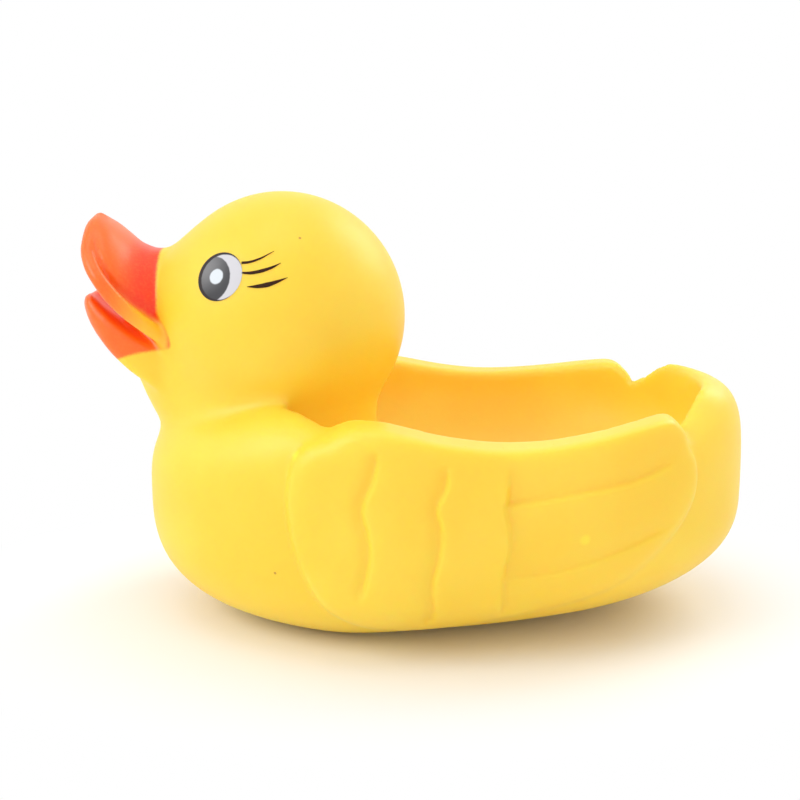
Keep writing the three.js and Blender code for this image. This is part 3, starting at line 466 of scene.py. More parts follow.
def egg_distance(x, y, z, front, back, side, down, up, plan_power, side_power):
    """An egg with its own radius each way, fuller than an ellipsoid as the two powers rise above 2."""
    rx = np.where(x < 0, front, back)
    rz = np.where(z < 0, down, up)
    u, v, w = np.abs(x) / rx + 1e-6, np.abs(y) / side + 1e-6, np.abs(z) / rz + 1e-6
    plan = (u ** plan_power + v ** plan_power) ** (1 / plan_power)
    reach = (plan ** side_power + w ** side_power) ** (1 / side_power)
    plan_slope = (plan / reach) ** (side_power - 1)
    gx = plan_slope * (u / plan) ** (plan_power - 1) / rx
    gy = plan_slope * (v / plan) ** (plan_power - 1) / side
    gz = (w / reach) ** (side_power - 1) / rz
    return (reach - 1) / np.sqrt(gx * gx + gy * gy + gz * gz)


# The bill: an arched upper half with a rolled lip and a groove above it, and a scooped lower half
bill_ridge = profile(BILL_RIDGE)
bill_half_width = profile(BILL_HALF_WIDTH)
bill_outline = curve_points(BILL_OUTLINE, True)
lip_path = curve_points(LIP_PATH)
lip_radii = [LIP_RADIUS] * len(lip_path)
groove_path = curve_points(LIP_GROOVE_PATH)
groove_radii = [LIP_GROOVE_RADIUS] * len(groove_path)
lower_bill_outline = curve_points(LOWER_BILL_OUTLINE, True)
lower_bill_half_width = profile(LOWER_BILL_HALF_WIDTH)


def upper_bill(x, y, z):
    width = bill_half_width(x)
    up = np.maximum(z - bill_ridge(x) + BILL_ARCH_HEIGHT, 0)
    reach = np.hypot(y / width, up / BILL_ARCH_HEIGHT)
    slope = np.hypot(y / width ** 2, up / BILL_ARCH_HEIGHT ** 2) / np.maximum(reach, 1e-3)
    arch = (reach - 1) / np.maximum(slope, 1 / BILL_ARCH_HEIGHT)
    d = common(arch, outline_distance(bill_outline, x, z), ARCH_FILLET)
    d = common(d, -tube_distance(groove_path, groove_radii, x, y, z), GROOVE_FILLET)
    d = common(d, -ellipsoid_distance(PALATE_CENTRE, PALATE_RADII, x, y, z), PALATE_FILLET)
    return join(d, tube_distance(lip_path, lip_radii, x, y, z), GROOVE_FILLET)


def lower_bill(x, y, z):
    in_side_view = outline_distance(lower_bill_outline, x, z)
    d = common(in_side_view, y - lower_bill_half_width(x), LOWER_BILL_ROUNDING)
    dx, dz = x - SCOOP_CENTRE[0], z - SCOOP_CENTRE[2]
    along = dx * math.cos(SCOOP_TILT) + dz * math.sin(SCOOP_TILT)
    up = dz * math.cos(SCOOP_TILT) - dx * math.sin(SCOOP_TILT)
    return common(d, -ellipsoid_distance((0, 0, 0), SCOOP_RADII, along, y, up), SCOOP_FILLET)


# The hull: an egg that is fuller in the breast, lifts off the ground towards the tail and ends at a rim
rim_height = profile(RIM_HEIGHT)


def hull(x, y, z):
    breast = ease((BREAST_START - x) / BREAST_RUN)
    tailward = ease((x - TAIL_POWER_START) / TAIL_POWER_RUN)
    tail_lift = TAIL_LIFT * ease((x - TAIL_LIFT_START) / TAIL_LIFT_RUN)
    breast_drop = BREAST_DROP * ease((BREAST_DROP_START - x) / BREAST_DROP_RUN)
    lift = (tail_lift - breast_drop) * (1 - ease(z / LIFT_HEIGHT))
    upper_depth = UPPER_DEPTH + (BREAST_UPPER_DEPTH - UPPER_DEPTH) * breast
    power = HULL_SIDE_POWER + (BREAST_SIDE_POWER - HULL_SIDE_POWER) * breast
    power += (TAIL_SIDE_POWER - HULL_SIDE_POWER) * tailward
    return egg_distance(x - HULL_X, y, z - lift - HULL_DEPTH + BASE_CUT, HULL_FRONT, HULL_BACK,
                        HULL_HALF_WIDTH, HULL_DEPTH, upper_depth, HULL_PLAN_POWER, power)


def nest(x, y, z):
    front = NEST_X - HULL_X + HULL_FRONT - NEST_FRONT_RIM
    back = HULL_X + HULL_BACK - NEST_BACK_RIM - NEST_X
    side = HULL_HALF_WIDTH - NEST_SIDE_RIM
    below = np.minimum(z - NEST_TOP, 0)
    return egg_distance(x - NEST_X, y, below, front, back, side, NEST_DEPTH, NEST_DEPTH, NEST_POWER,
                        NEST_POWER)


# The wings: a raised pad on each side with two grooves and a step across it, then long flight feathers
wing_outline = curve_points(WING_OUTLINE, True)
covert_grooves = [curve_points(path) for path in COVERT_GROOVES]
covert_step = curve_points(COVERT_STEP)
flight_grooves = [(curve_points(path), depth) for path, depth in FLIGHT_GROOVES]


def feather_relief(x, z):
    height = np.zeros(x.shape)
    for line in covert_grooves:
        distance, side, along = nearest_on_line(line, x, z)
        width = np.where(side < 0, *COVERT_GROOVE_WIDTHS)
        fade = ease(along / COVERT_FADE) * ease((1 - along) / COVERT_FADE)
        height -= COVERT_GROOVE_DEPTH * np.exp(-(distance / width) ** 2) * fade
    distance, side, along = nearest_on_line(covert_step, x, z)
    fade = ease(along / COVERT_STEP_FADE) * ease((1 - along) / COVERT_STEP_FADE)
    before = COVERT_STEP_RISE * np.exp(-(distance / COVERT_STEP_RISE_WIDTH) ** 2)
    recovery = ease((distance - COVERT_STEP_WIDTH) / COVERT_STEP_RECOVERY)
    recovered = (COVERT_STEP_DROP - COVERT_STEP_RISE) * recovery
    after = COVERT_STEP_RISE - COVERT_STEP_DROP * ease(distance / COVERT_STEP_WIDTH) + recovered
    after = np.where(distance < COVERT_STEP_WIDTH + COVERT_STEP_RECOVERY, after, 0)
    height += np.where(side < 0, before, after) * fade
    for line, depth in flight_grooves:
        distance, side, along = nearest_on_line(line, x, z)
        width = np.where(side > 0, *FLIGHT_GROOVE_WIDTHS)
        fade = ease(along / FLIGHT_FADES[0]) * ease((1 - along) / FLIGHT_FADES[1])
        height -= depth * np.exp(-(distance / width) ** 2) * fade
    return height


def hull_with_wings(x, y, z):
    shell = hull(x, y, z)
    tail = ease((TAIL_HALF_WIDTH - y) / TAIL_SIDE_RUN) * ease((x - TAIL_START) / TAIL_RUN)
    rounding = RIM_ROUNDING + SHOULDER_ROUNDING * (ease((SHOULDER_START - x) / SHOULDER_RUN) + tail)
    rimmed = common(shell, z - rim_height(x) - TAIL_RISE * tail, rounding)
    outline = outline_distance(wing_outline, x, z)
    thin_below = 1 - ease((z - WING_THICK_HEIGHT[0]) / WING_THICK_HEIGHT[1])
    thin_behind = 1 - ease((WING_THICK_FRONT[0] - x) / WING_THICK_FRONT[1])
    thickness = WING_THICK + (WING_THIN - WING_THICK) * thin_below * thin_behind
    thickness *= ease((z - WING_FOOT) / WING_FOOT_RUN)
    relief = np.zeros(x.shape)
    near = (outline < RELIEF_MARGIN) & (y > WING_INNER_LIMIT)
    relief[near] = feather_relief(x[near], z[near])
    front = ease((WING_FRONT[0] - x) / WING_FRONT[1])
    low = 1 - ease((z - WING_REAR_HEIGHT[0]) / WING_REAR_HEIGHT[1])
    rear = ease((x - WING_REAR[0]) / WING_REAR[1]) * low
    edge = WING_EDGE_ROUNDING + (WING_FRONT_ROUNDING - WING_EDGE_ROUNDING) * front
    edge = edge + WING_REAR_ROUNDING * rear
    return join(rimmed, common(shell - thickness - relief, outline, edge), WING_FILLET)


throat_path = curve_points(THROAT_PATH)
throat_steps = np.arange(len(throat_path)) / CURVE_STEPS
throat_radii = np.interp(throat_steps, range(len(THROAT_RADII)), THROAT_RADII)


def duck_distance(points):
    """Distance to the outside of the duck, below zero inside the vinyl, from points of shape (n, 3)."""
    x, y, z = points[:, 0], np.abs(points[:, 1]), points[:, 2]
    body = common(hull_with_wings(x, y, z), -nest(x, y, z), NEST_EDGE_ROUNDING)
    head = ellipsoid_distance(HEAD_CENTRE, HEAD_RADII, x, y, z)
    head = join(head, ellipsoid_distance(FACE_CENTRE, FACE_RADII, x, y, z), FACE_FILLET)
    head = join(head, tube_distance(throat_path, throat_radii, x, y, z), THROAT_FILLET)
    d = join(body, head, NECK_FILLET)
    d = join(d, ellipsoid_distance(NECK_CENTRE, NECK_RADII, x, y, z), NECK_FILLET)
    near = (x < BILL_ROOT) & (z > BILL_FLOOR)
    place = x[near], y[near], z[near]
    bill = join(upper_bill(*place), lower_bill(*place), MOUTH_FILLET)
    d[near] = join(d[near], bill, BILL_FILLET)
    d = common(d, -z, BASE_ROUNDING)
    from_axis = np.hypot(x - WHISTLE_X, y)
    bore = np.maximum(from_axis - BORE_RADIUS, z - COLLAR_TOP)
    half_room = FLANGE_ROOM_HEIGHT / 2
    room = np.maximum(from_axis - FLANGE_ROOM_RADIUS, np.abs(z - FLANGE_ROOM_TOP + half_room) - half_room)
    return common(d, -np.minimum(bore, room), BORE_EDGE_ROUNDING)


def slope_at(distance, points, step=GRADIENT_STEP):
    """The outward direction at each point."""
    gradient = np.empty_like(points)
    for axis in range(3):
        offset = np.zeros(3)
        offset[axis] = step
        gradient[:, axis] = distance(points + offset) - distance(points - offset)
    return gradient / (2 * step)


def sample_box(distance):
    """Samples on a regular grid over the duck, taken only near the surface, then mirrored about y = 0."""
    low, high = np.array(BOX_LOW, float), np.array(BOX_HIGH, float)
    counts = (np.ceil((high - low) / CELL / COARSE).astype(int)) * COARSE + 1
    axes = [low[a] + np.arange(counts[a]) * CELL for a in range(3)]
    coarse_axes = [axis[::COARSE] for axis in axes]
    grid = np.stack(np.meshgrid(*coarse_axes, indexing="ij"), -1)
    coarse = distance(grid.reshape(-1, 3)).reshape(grid.shape[:3])
    values = coarse
    for axis in range(3):
        values = np.repeat(values, COARSE, axis=axis)
    values = values[:counts[0], :counts[1], :counts[2]].copy()
    near = np.argwhere(np.abs(values) < COARSE * CELL * BAND)
    points = np.stack([axes[a][near[:, a]] for a in range(3)], 1)
    chunks = np.array_split(points, max(1, len(points) // CHUNK))
    values[tuple(near.T)] = np.concatenate([distance(chunk) for chunk in chunks])
    mirrored = np.concatenate([values[:, :0:-1], values], axis=1)
    start = np.array([axes[0][0], -axes[1][-1], axes[2][0]])
    return mirrored, start


def surface_net(values, start):
    """One point for each cell that the surface passes through, and a quad across each edge it crosses."""
    inside = values < 0
    corners = [(i, j, k) for i in (0, 1) for j in (0, 1) for k in (0, 1)]
    size = np.array(values.shape) - 1

    def corner(array, c):
        return array[c[0]:c[0] + size[0], c[1]:c[1] + size[1], c[2]:c[2] + size[2]]

    total = sum(corner(inside, c).astype(np.int8) for c in corners)
    cells = np.argwhere((total > 0) & (total < 8))
    number = np.full(size, -1, np.int64)
    number[tuple(cells.T)] = np.arange(len(cells))
    place = np.zeros((len(cells), 3))
    crossings = np.zeros(len(cells))
    for a in corners:
        for b in corners:
            if sum(abs(m - n) for m, n in zip(a, b)) != 1 or a > b:
                continue
            va = values[tuple((cells + a).T)]
            vb = values[tuple((cells + b).T)]
            crossed = (va < 0) != (vb < 0)
            t = np.where(crossed, va / np.where(crossed, va - vb, 1), 0)[:, None]
            place += crossed[:, None] * (np.array(a) + (np.array(b) - np.array(a)) * t)
            crossings += crossed
    points = start + (cells + place / crossings[:, None]) * CELL
    quads = []
    for axis in range(3):
        u, v = (axis + 1) % 3, (axis + 2) % 3
        edges = np.argwhere(inside != np.roll(inside, -1, axis))
        edges = edges[(edges[:, axis] < size[axis]) & (edges[:, u] > 0) & (edges[:, v] > 0)]
        edges = edges[(edges[:, u] < size[u]) & (edges[:, v] < size[v])]
        around = []
        for du, dv in ((-1, -1), (0, -1), (0, 0), (-1, 0)):
            cell = edges.copy()
            cell[:, u] += du
            cell[:, v] += dv
            around.append(number[tuple(cell.T)])
        quad = np.stack(around, 1)
        outward = inside[tuple(edges.T)]
        quads.append(np.where(outward[:, None], quad, quad[:, ::-1]))
    return points, np.concatenate(quads)


def settle(distance, points, rounds=2):
    """Moves points onto the surface, by no more than a share of a cell in all."""
    moved = points.copy()
    for _ in range(rounds):
        gradient = slope_at(distance, moved)
        square = np.maximum((gradient ** 2).sum(1), LEAST_SLOPE)
        moved -= (distance(moved) / square)[:, None] * gradient
    shift = moved - points
    length = np.linalg.norm(shift, axis=1, keepdims=True)
    return points + shift * np.minimum(1, LONGEST_SHIFT * CELL / np.maximum(length, 1e-9))


def evened(points, quads):
    """Moves each point halfway to the middle of its neighbours, then back onto the surface."""
    starts, ends = quads.ravel(), np.roll(quads, -1, axis=1).ravel()
    counts = np.bincount(starts, minlength=len(points))
    sums = np.stack([np.bincount(starts, points[ends, axis], len(points)) for axis in range(3)], 1)
    return settle(duck_distance, (points + sums / counts[:, None]) / 2)


def refined(points, faces, wanted):
    """Splits each face whose corners are all wanted into four, and settles the new corners."""
    mesh = bpy.data.meshes.new("work")
    mesh.from_pydata(points.tolist(), [], [list(map(int, face)) for face in faces])
    work = bmesh.new()
    work.from_mesh(mesh)
    bpy.data.meshes.remove(mesh)
    edges = [edge for edge in work.edges if all(wanted[corner.index] for corner in edge.verts)]
    bmesh.ops.subdivide_edges(work, edges=edges, cuts=1, use_grid_fill=True)
    work.verts.index_update()
    new_points = np.array([corner.co[:] for corner in work.verts], float)
    new_points[:len(points)] = points
    new_faces = [[corner.index for corner in face.verts] for face in work.faces]
    work.free()
    new_points[len(points):] = settle(duck_distance, new_points[len(points):])
    return new_points, new_faces


def on_bill(points):
    return (points[:, 0] < FINE_BILL[0]) & (points[:, 2] > FINE_BILL[1])


def near_wing_lines(points, width):
    """What lies within a width of the wings' lines and outline."""
    x, y, z = points[:, 0], np.abs(points[:, 1]), points[:, 2]
    from_lines = nearest_on_line(wing_outline, x, z)[0]
    for line in covert_grooves + [covert_step] + [line for line, _ in flight_grooves]:
        from_lines = np.minimum(from_lines, nearest_on_line(line, x, z)[0])
    return (from_lines < width) & (y > WING_INNER_LIMIT) & (hull(x, y, z) > -LINES_DEPTH)


def to_metres(points):
    return (np.asarray(points) - (ORIGIN_X, 0, 0)) * MM


def mesh_object(name, points, faces, material):
    mesh = bpy.data.meshes.new(name)
    mesh.from_pydata(to_metres(points).tolist(), [], [list(map(int, face)) for face in faces])
    mesh.materials.append(material)
    mesh.shade_smooth()
    thing = bpy.data.objects.new(name, mesh)
    bpy.context.collection.objects.link(thing)
    return thing


# Paint on the bill, as shares at each point of the mesh
bill_paint_edge = curve_points(BILL_PAINT_EDGE)
mouth_height = profile(MOUTH_LINE)


def bill_paint_distance(points):
    """How far inside the painted part a point is, in side view."""
    distance, side, _ = nearest_on_line(bill_paint_edge, points[:, 0], points[:, 2])
    return np.where(points[:, 0] < PAINT_ROOT, -distance * side, -distance)


def lip_thinness(points):
    """How thin the paint is: along the rolled lip, more so towards the corner of the mouth."""
    x, y, z = points[:, 0], np.abs(points[:, 1]), points[:, 2]
    from_lip = np.abs(tube_distance(lip_path, lip_radii, x, y, z))
    on_lip = 1 - ease((from_lip - LIP_PAINT_START) / LIP_PAINT_FADE)
    return on_lip * ease((x - LIP_THIN_FROM) / LIP_THIN_RUN)


def bill_painted_shade(points):
    """Painted shade on the bill: the paint is darker where the upper half of the bill meets the head."""
    x, z = points[:, 0], points[:, 2]
    above_mouth = ease((z - mouth_height(x)) / PAINTED_SHADE_FADE)
    far, near = PAINTED_SHADE_REACH
    return ease((far - bill_paint_distance(points)) / (far - near)) * above_mouth


# Eye and lashes: thin paint laid on the head, drawn on a plane that touches it at the middle of the eye
def eye_plane(side):
    """The middle of the eye, the way out of the head, and the ways towards the bill and up."""
    centre = np.array([EYE_CENTRE], float) * (1, side, 1)
    centre = settle(duck_distance, centre, 4)
    out = slope_at(duck_distance, centre)[0]
    out /= np.linalg.norm(out)
    up = np.array((0, 0, 1)) - out * out[2]
    up /= np.linalg.norm(up)
    ahead = np.cross(up, out)
    return centre[0], out, ahead * -np.sign(ahead[0]), up


def laid_on_head(plane_points, side, lift):
    centre, out, ahead, up = eye_plane(side)
    points = centre + plane_points[:, :1] * ahead + plane_points[:, 1:] * up
    for _ in range(LAYING_ROUNDS):
        points = points - duck_distance(points)[:, None] * out
    return points + out * lift


def paint_object(name, plane_points, faces, side, lift, material):
    thing = mesh_object(name, laid_on_head(plane_points, side, lift), faces, material)
    flat = thing.data.uv_layers.new(name="paint").data
    for loop, corner in enumerate(thing.data.loops):
        flat[loop].uv = plane_points[corner.vertex_index] / EYE_UV_SPAN + 0.5
    if side > 0:
        thing.data.flip_normals()
    return thing


def disc_faces(rings, spokes):
    """Faces of a round patch whose first point is its middle."""
    faces = [(0, 1 + i, 1 + (i + 1) % spokes) for i in range(spokes)]
    for ring in range(rings - 1):
        start = 1 + ring * spokes
        for i in range(spokes):
            j = (i + 1) % spokes
            faces.append((start + i, start + spokes + i, start + spokes + j, start + j))
    return faces


def eye_disc(side, material):
    angles = np.arange(EYE_SPOKES) * 2 * math.pi / EYE_SPOKES
    circle = np.stack([np.cos(angles), np.sin(angles)], 1)
    rings = [circle * EYE_RADIUS * (i + 1) / EYE_RINGS for i in range(EYE_RINGS)]
    points = np.vstack([[(0, 0)]] + rings) + EYE_OFFSET
    name = "eye_paint_" + ("left" if side < 0 else "right")
    return paint_object(name, points, disc_faces(EYE_RINGS, EYE_SPOKES), side, EYE_LIFT, material)


def lash_strokes(side, material):
    points, faces = [], []
    for stroke in LASHES:
        line = curve_points([point[:2] for point in stroke])
        steps = np.linspace(0, len(stroke) - 1, len(line))
        widths = np.interp(steps, range(len(stroke)), [point[2] for point in stroke])
        along = np.gradient(line, axis=0)
        along /= np.linalg.norm(along, axis=1, keepdims=True)
        across = np.stack([-along[:, 1], along[:, 0]], 1) * widths[:, None] / 2
        start = len(points)
        for middle, half in zip(line, across):
            points.extend([middle - half, middle, middle + half])
        for i in range(len(line) - 1):
            for j in (0, 1):
                k = start + 3 * i + j
                faces.append((k, k + 3, k + 4, k + 1))
    name = "lash_paint_" + ("left" if side < 0 else "right")
    return paint_object(name, np.array(points), faces, side, LASH_LIFT, material)


# Materials
def new_material(name, colour, roughness):
    material = bpy.data.materials.new(name)
    material.use_nodes = True
    shader = material.node_tree.nodes["Principled BSDF"]
    shader.inputs["Base Color"].default_value = (*colour, 1)
    shader.inputs["Roughness"].default_value = roughness
    return material


def add_node(material, kind, sockets=(), **settings):
    """Adds a shader node; sockets gives inputs, by name or number, a value or another node's output."""
    node = material.node_tree.nodes.new(kind)
    for key, value in settings.items():
        setattr(node, key, value)
    for key, value in dict(sockets).items():
        if isinstance(value, bpy.types.NodeSocket):
            material.node_tree.links.new(value, node.inputs[key])
        else:
            node.inputs[key].default_value = value
    return node


def maths(material, operation, *values):
    return add_node(material, "ShaderNodeMath", enumerate(values), operation=operation).outputs[0]


def ramp(material, value, low, high):
    """0 below low and 1 above high, eased between; low may be the larger."""
    sockets = {0: value, 1: low, 2: high}
    return add_node(material, "ShaderNodeMapRange", sockets, interpolation_type="SMOOTHSTEP").outputs[0]


def scaled(material, value, factor):
    return maths(material, "MULTIPLY", value, factor)


def centred(material, value, spread):
    """A noise turned into an offset about zero."""
    return scaled(material, maths(material, "SUBTRACT", value, 0.5), spread)


def stretched(material, place, factors):
    sockets = {0: place, 1: factors}
    return add_node(material, "ShaderNodeVectorMath", sockets, operation="MULTIPLY").outputs[0]


def noise(material, place, scale, detail=2.0):
    node = add_node(material, "ShaderNodeTexNoise", {"Vector": place, "Scale": scale, "Detail": detail})
    return node.outputs["Fac"]


def mix(material, share, a, b):
    node = add_node(material, "ShaderNodeMix", {"Factor": share}, data_type="RGBA")
    for key, value in (("A", a), ("B", b)):
        socket = [s for s in node.inputs if s.name == key and s.type == "RGBA"][0]
        if isinstance(value, bpy.types.NodeSocket):
            material.node_tree.links.new(value, socket)
        else:
            socket.default_value = (*value, 1)
    return [s for s in node.outputs if s.type == "RGBA"][0]


def place_in_mm(material):
    """Object coordinates in millimetres."""
    return stretched(material, add_node(material, "ShaderNodeTexCoord").outputs["Object"], (1 / MM,) * 3)


def distance_to(material, place, point):
    node = add_node(material, "ShaderNodeVectorMath", {0: place, 1: point}, operation="DISTANCE")
    return node.outputs["Value"]


def attribute(material, name):
    return add_node(material, "ShaderNodeAttribute", attribute_name=name).outputs["Fac"]


def link(material, output, name):
    shader = material.node_tree.nodes["Principled BSDF"]
    material.node_tree.links.new(output, shader.inputs[name])


def set_values(material, values):
    for name, value in values.items():
        material.node_tree.nodes["Principled BSDF"].inputs[name].default_value = value


def add_bump(material, height, strength, depth):
    sockets = {"Height": height, "Strength": strength, "Distance": depth * MM}
    link(material, add_node(material, "ShaderNodeBump", sockets).outputs["Normal"], "Normal")


def spotted(material, place, colour, spots, reach, strength, spot_colour):
    """The colour with a round spot at each of the given places."""
    for point in spots:
        spot = ramp(material, distance_to(material, place, point), *reach)
        colour = mix(material, scaled(material, spot, strength), colour, spot_colour)
    return colour


def vinyl():
    """Soft yellow vinyl, with the bill sprayed orange-red."""
    material = new_material("yellow_vinyl", VINYL, VINYL_ROUGHNESS)
    place = place_in_mm(material)
    clouds = ramp(material, noise(material, place, CLOUD_SCALE), *CLOUD_RANGE)
    colour = mix(material, clouds, VINYL, VINYL_DEEP)
    colour = spotted(material, place, colour, VENT_SPOTS, VENT_REACH, VENT_STRENGTH, VENT_COLOUR)
    colour = spotted(material, place, colour, SPECKS, SPECK_REACH, SPECK_STRENGTH, SPECK_COLOUR)
    spray = noise(material, place, SPRAY_SCALE, 3)
    edge = maths(material, "ADD", attribute(material, "bill_paint"), centred(material, spray, SPRAY_SPREAD))
    cover = ramp(material, edge, -SPRAY_EDGE, SPRAY_EDGE)
    thin = scaled(material, attribute(material, "lip_thin"), LIP_THINNEST)
    cover = maths(material, "MULTIPLY", cover, maths(material, "SUBTRACT", 1, thin))
    # Painted shade: the paint is mixed darker where the upper bill meets the head
    paint = mix(material, attribute(material, "bill_painted_shade"), BILL_PAINT, BILL_PAINT_SHADED)
    grain = ramp(material, noise(material, place, GRAIN_SCALE, 4), *GRAIN_RANGE)
    paint = mix(material, scaled(material, grain, GRAIN_STRENGTH), paint, BILL_PAINT_PALE)
    link(material, mix(material, cover, colour, paint), "Base Color")
    smoother = scaled(material, cover, BILL_SMOOTHER_BY)
    link(material, maths(material, "SUBTRACT", VINYL_ROUGHNESS, smoother), "Roughness")
    set_values(material, {"Specular IOR Level": VINYL_SPECULAR, "Subsurface Weight": SUBSURFACE_WEIGHT,
                          "Subsurface Radius": SUBSURFACE_RADIUS, "Subsurface Scale": SUBSURFACE_SCALE})
    skin = maths(material, "ADD", noise(material, place, SKIN_SCALE, 3), scaled(material, spray, SKIN_SPRAY))
    add_bump(material, skin, *SKIN_BUMP)
    return material


def eye_paint():
    material = new_material("eye_paint", SCLERA, EYE_ROUGHNESS)
    set_values(material, {"Specular IOR Level": EYE_SPECULAR})
    flat = add_node(material, "ShaderNodeUVMap", uv_map="paint").outputs["UV"]
    middle = {0: flat, 1: (0.5, 0.5, 0)}
    place = add_node(material, "ShaderNodeVectorMath", middle, operation="SUBTRACT").outputs[0]
    place = stretched(material, place, (EYE_UV_SPAN,) * 3)
    edge = centred(material, noise(material, place, EYE_EDGE_SCALE), EYE_EDGE_SPREAD)

    def inside(centre, radius, soft=EYE_SOFTNESS):
        reach = maths(material, "ADD", distance_to(material, place, (*centre, 0)), edge)
        return ramp(material, reach, radius + soft, radius - soft)

    # Painted highlight: the iris is paler towards its upper front and darker below
    from_gloss = distance_to(material, place, (*IRIS_GLOSS_POINT, 0))
    gloss_distance = maths(material, "ADD", from_gloss, noise(material, place, IRIS_GLOSS_SCALE))
    iris = mix(material, ramp(material, gloss_distance, *IRIS_GLOSS_REACH), IRIS_DARK, IRIS_GLOSSED)
    colour = mix(material, inside(IRIS_CENTRE, IRIS_RADIUS), SCLERA, iris)
    colour = mix(material, inside(PUPIL_CENTRE, PUPIL_RADIUS, PUPIL_SOFTNESS), colour, PUPIL_COLOUR)
    colour = mix(material, inside(RIM_CENTRE, RIM_RADIUS), RIM_COLOUR, colour)
    link(material, colour, "Base Color")
    return material


def lash_paint():
    material = new_material("lash_paint", LASH_COLOUR, LASH_ROUGHNESS)
    set_values(material, {"Specular IOR Level": LASH_SPECULAR})
    thin = noise(material, place_in_mm(material), LASH_SCALE)
    link(material, mix(material, thin, LASH_COLOUR, LASH_THIN_COLOUR), "Base Color")
    return material


def moulded_plastic(name, colour, roughness):
    material = new_material(name, colour, roughness)
    place = place_in_mm(material)
    darker = tuple(PLASTIC_DARKER * channel for channel in colour)
    clouds = ramp(material, noise(material, place, PLASTIC_SCALE), *PLASTIC_RANGE)
    link(material, mix(material, clouds, colour, darker), "Base Color")
    add_bump(material, noise(material, place, PLASTIC_BUMP_SCALE, 3), *PLASTIC_BUMP)
    return material


def film():
    material = new_material("clear_film", FILM_COLOUR, FILM_ROUGHNESS)
    set_values(material, {"Transmission Weight": FILM_TRANSMISSION, "IOR": FILM_IOR})
    add_bump(material, noise(material, place_in_mm(material), FILM_BUMP_SCALE), *FILM_BUMP)
    return material


def light(name, size, place, power):
    lamp = bpy.data.lights.new(name, "AREA")
    lamp.shape = "DISK"
    lamp.size = size
    lamp.energy = power
    thing = bpy.data.objects.new(name, lamp)
    thing.location = place
    thing.rotation_euler = (Vector(LIGHT_AIM) - Vector(place)).to_track_quat("-Z", "Y").to_euler()
    bpy.context.collection.objects.link(thing)


def seen_ray(owner):
    """1 for what is seen, directly, in a reflection or through something clear, and 0 for light."""
    rays = add_node(owner, "ShaderNodeLightPath").outputs
    seen = maths(owner, "MAXIMUM", rays["Is Camera Ray"], rays["Is Glossy Ray"])
    return maths(owner, "MAXIMUM", seen, rays["Is Transmission Ray"])


def floor_paint():
    """White paper: it keeps the duck's shadow, and further out it is as white as the backdrop."""
    material = new_material("floor", FLOOR_COLOUR, FLOOR_ROUGHNESS)
    nodes, links = material.node_tree.nodes, material.node_tree.links
    place = add_node(material, "ShaderNodeTexCoord").outputs["Object"]
    white = add_node(material, "ShaderNodeEmission", {"Color": (1, 1, 1, 1), "Strength": 1.0})
    flat = stretched(material, place, (1 / SHADOW_RADII[0], 1 / SHADOW_RADII[1], 0))
    far = ramp(material, distance_to(material, flat, (0, 0, 0)), *FLOOR_CLEAR_REACH)
    share = maths(material, "MULTIPLY", far, seen_ray(material))
    blend = add_node(material, "ShaderNodeMixShader",
                     {0: share, 1: nodes["Principled BSDF"].outputs[0], 2: white.outputs[0]})
    links.new(blend.outputs[0], nodes["Material Output"].inputs["Surface"])
    return material


def studio_world():
    """White to look at and in reflections, and softer than that as light."""
    world = bpy.data.worlds.new("studio")
    world.use_nodes = True
    strength = add_node(world, "ShaderNodeMapRange", {0: seen_ray(world)})
    strength.inputs["To Min"].default_value = WORLD_STRENGTH
    backdrop = world.node_tree.nodes["Background"].inputs
    world.node_tree.links.new(strength.outputs[0], backdrop["Strength"])
    backdrop["Color"].default_value = (1, 1, 1, 1)
    bpy.context.scene.world = world


def stage():
    bpy.ops.mesh.primitive_plane_add(size=FLOOR_SIZE, location=(0, 0, 0))
    floor = bpy.context.object
    floor.name = "floor"
    floor.data.materials.append(floor_paint())
    floor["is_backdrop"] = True
    studio_world()
    for name, size, place, power in LIGHTS:
        light(name, size, place, power)


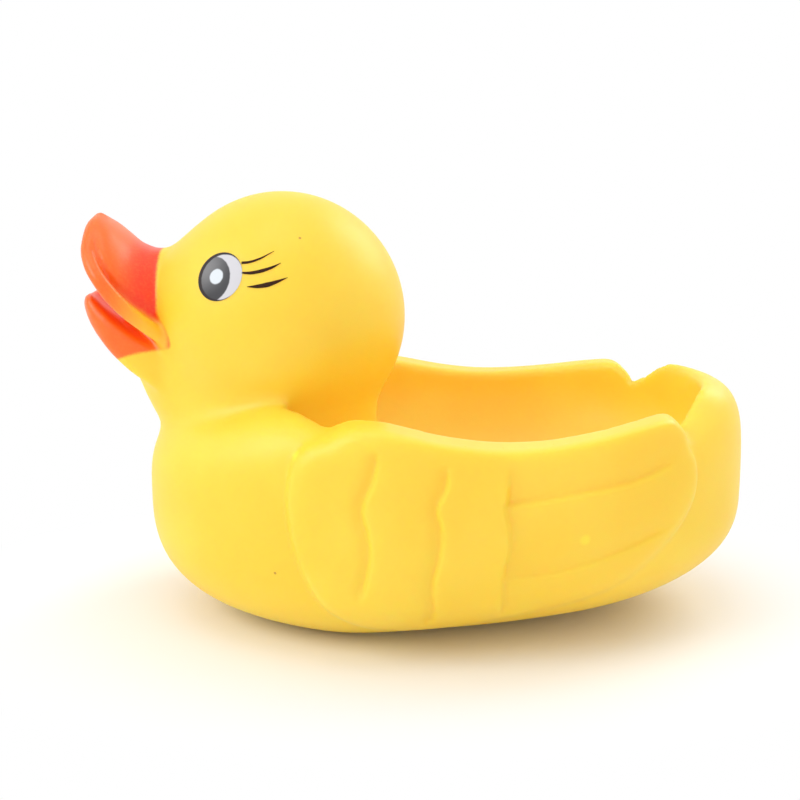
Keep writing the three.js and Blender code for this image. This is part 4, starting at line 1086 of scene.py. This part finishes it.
def camera():
    lens = bpy.data.cameras.new("camera")
    lens.sensor_width = CAMERA_SENSOR
    lens.lens = CAMERA_LENS
    thing = bpy.data.objects.new("camera", lens)
    aim = Vector(to_metres(CAMERA_AIM))
    back = Vector((0, -math.cos(CAMERA_PITCH), math.sin(CAMERA_PITCH)))
    thing.location = aim + back * CAMERA_DISTANCE * MM
    thing.rotation_euler = (-back).to_track_quat("-Z", "Y").to_euler()
    bpy.context.collection.objects.link(thing)
    bpy.context.scene.camera = thing


def ride(piece, slot, *nodes):
    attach(piece, "root")
    if nodes:
        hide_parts(*nodes)


def build_duck(solid_box):
    """The duck's skin, kept inside the solid's box, with its paint."""
    points, faces = surface_net(*sample_box(duck_distance))
    points = settle(duck_distance, points)
    points = evened(points, faces)
    wide, narrow = FINE_WIDTHS
    points, faces = refined(points, faces, near_wing_lines(points, wide) | on_bill(points))
    points, faces = refined(points, faces, near_wing_lines(points, narrow))
    points = np.clip(points, *(np.array(solid_box) / MM + (ORIGIN_X, 0, 0)))
    duck = mesh_object("duck", points, faces, vinyl())
    # Shares stored on the mesh: where the bill is painted, where its paint is thin, and the bill's painted
    # shade
    shares = {"bill_paint": bill_paint_distance, "lip_thin": lip_thinness, "bill_painted_shade": bill_painted_shade}
    for name, share in shares.items():
        stored = duck.data.attributes.new(name, "FLOAT", "POINT")
        stored.data.foreach_set("value", share(points).astype(np.float32))
    ride(duck, "yellow_vinyl", "duck_body")
    eye, lash = eye_paint(), lash_paint()
    for side in (-1, 1):
        ride(eye_disc(side, eye), "yellow_vinyl")
        ride(lash_strokes(side, lash), "yellow_vinyl")


def finish_whistle(nodes):
    """The pieces of the whistle keep their solids, with moulded plastic on them."""
    finishes = {
        "whistle_housing": moulded_plastic("white_plastic", *WHITE_PLASTIC),
        "whistle_plug_channelled": moulded_plastic("ivory_plastic", *IVORY_PLASTIC),
        "whistle_plug_plain": moulded_plastic("ivory_plastic_plain", *IVORY_PLASTIC),
        "whistle_reed": film(),
    }
    for name, material in finishes.items():
        nodes[name].material_slots[0].material = material


def main():
    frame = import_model()
    sizes = {"cad": [list(corner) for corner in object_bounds()]}
    build_duck(sizes["cad"])
    finish_whistle(frame["nodes"])
    stage()
    camera()
    bpy.context.scene.view_settings.view_transform = "Standard"
    sizes["visual"] = [list(corner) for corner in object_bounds()]


main()
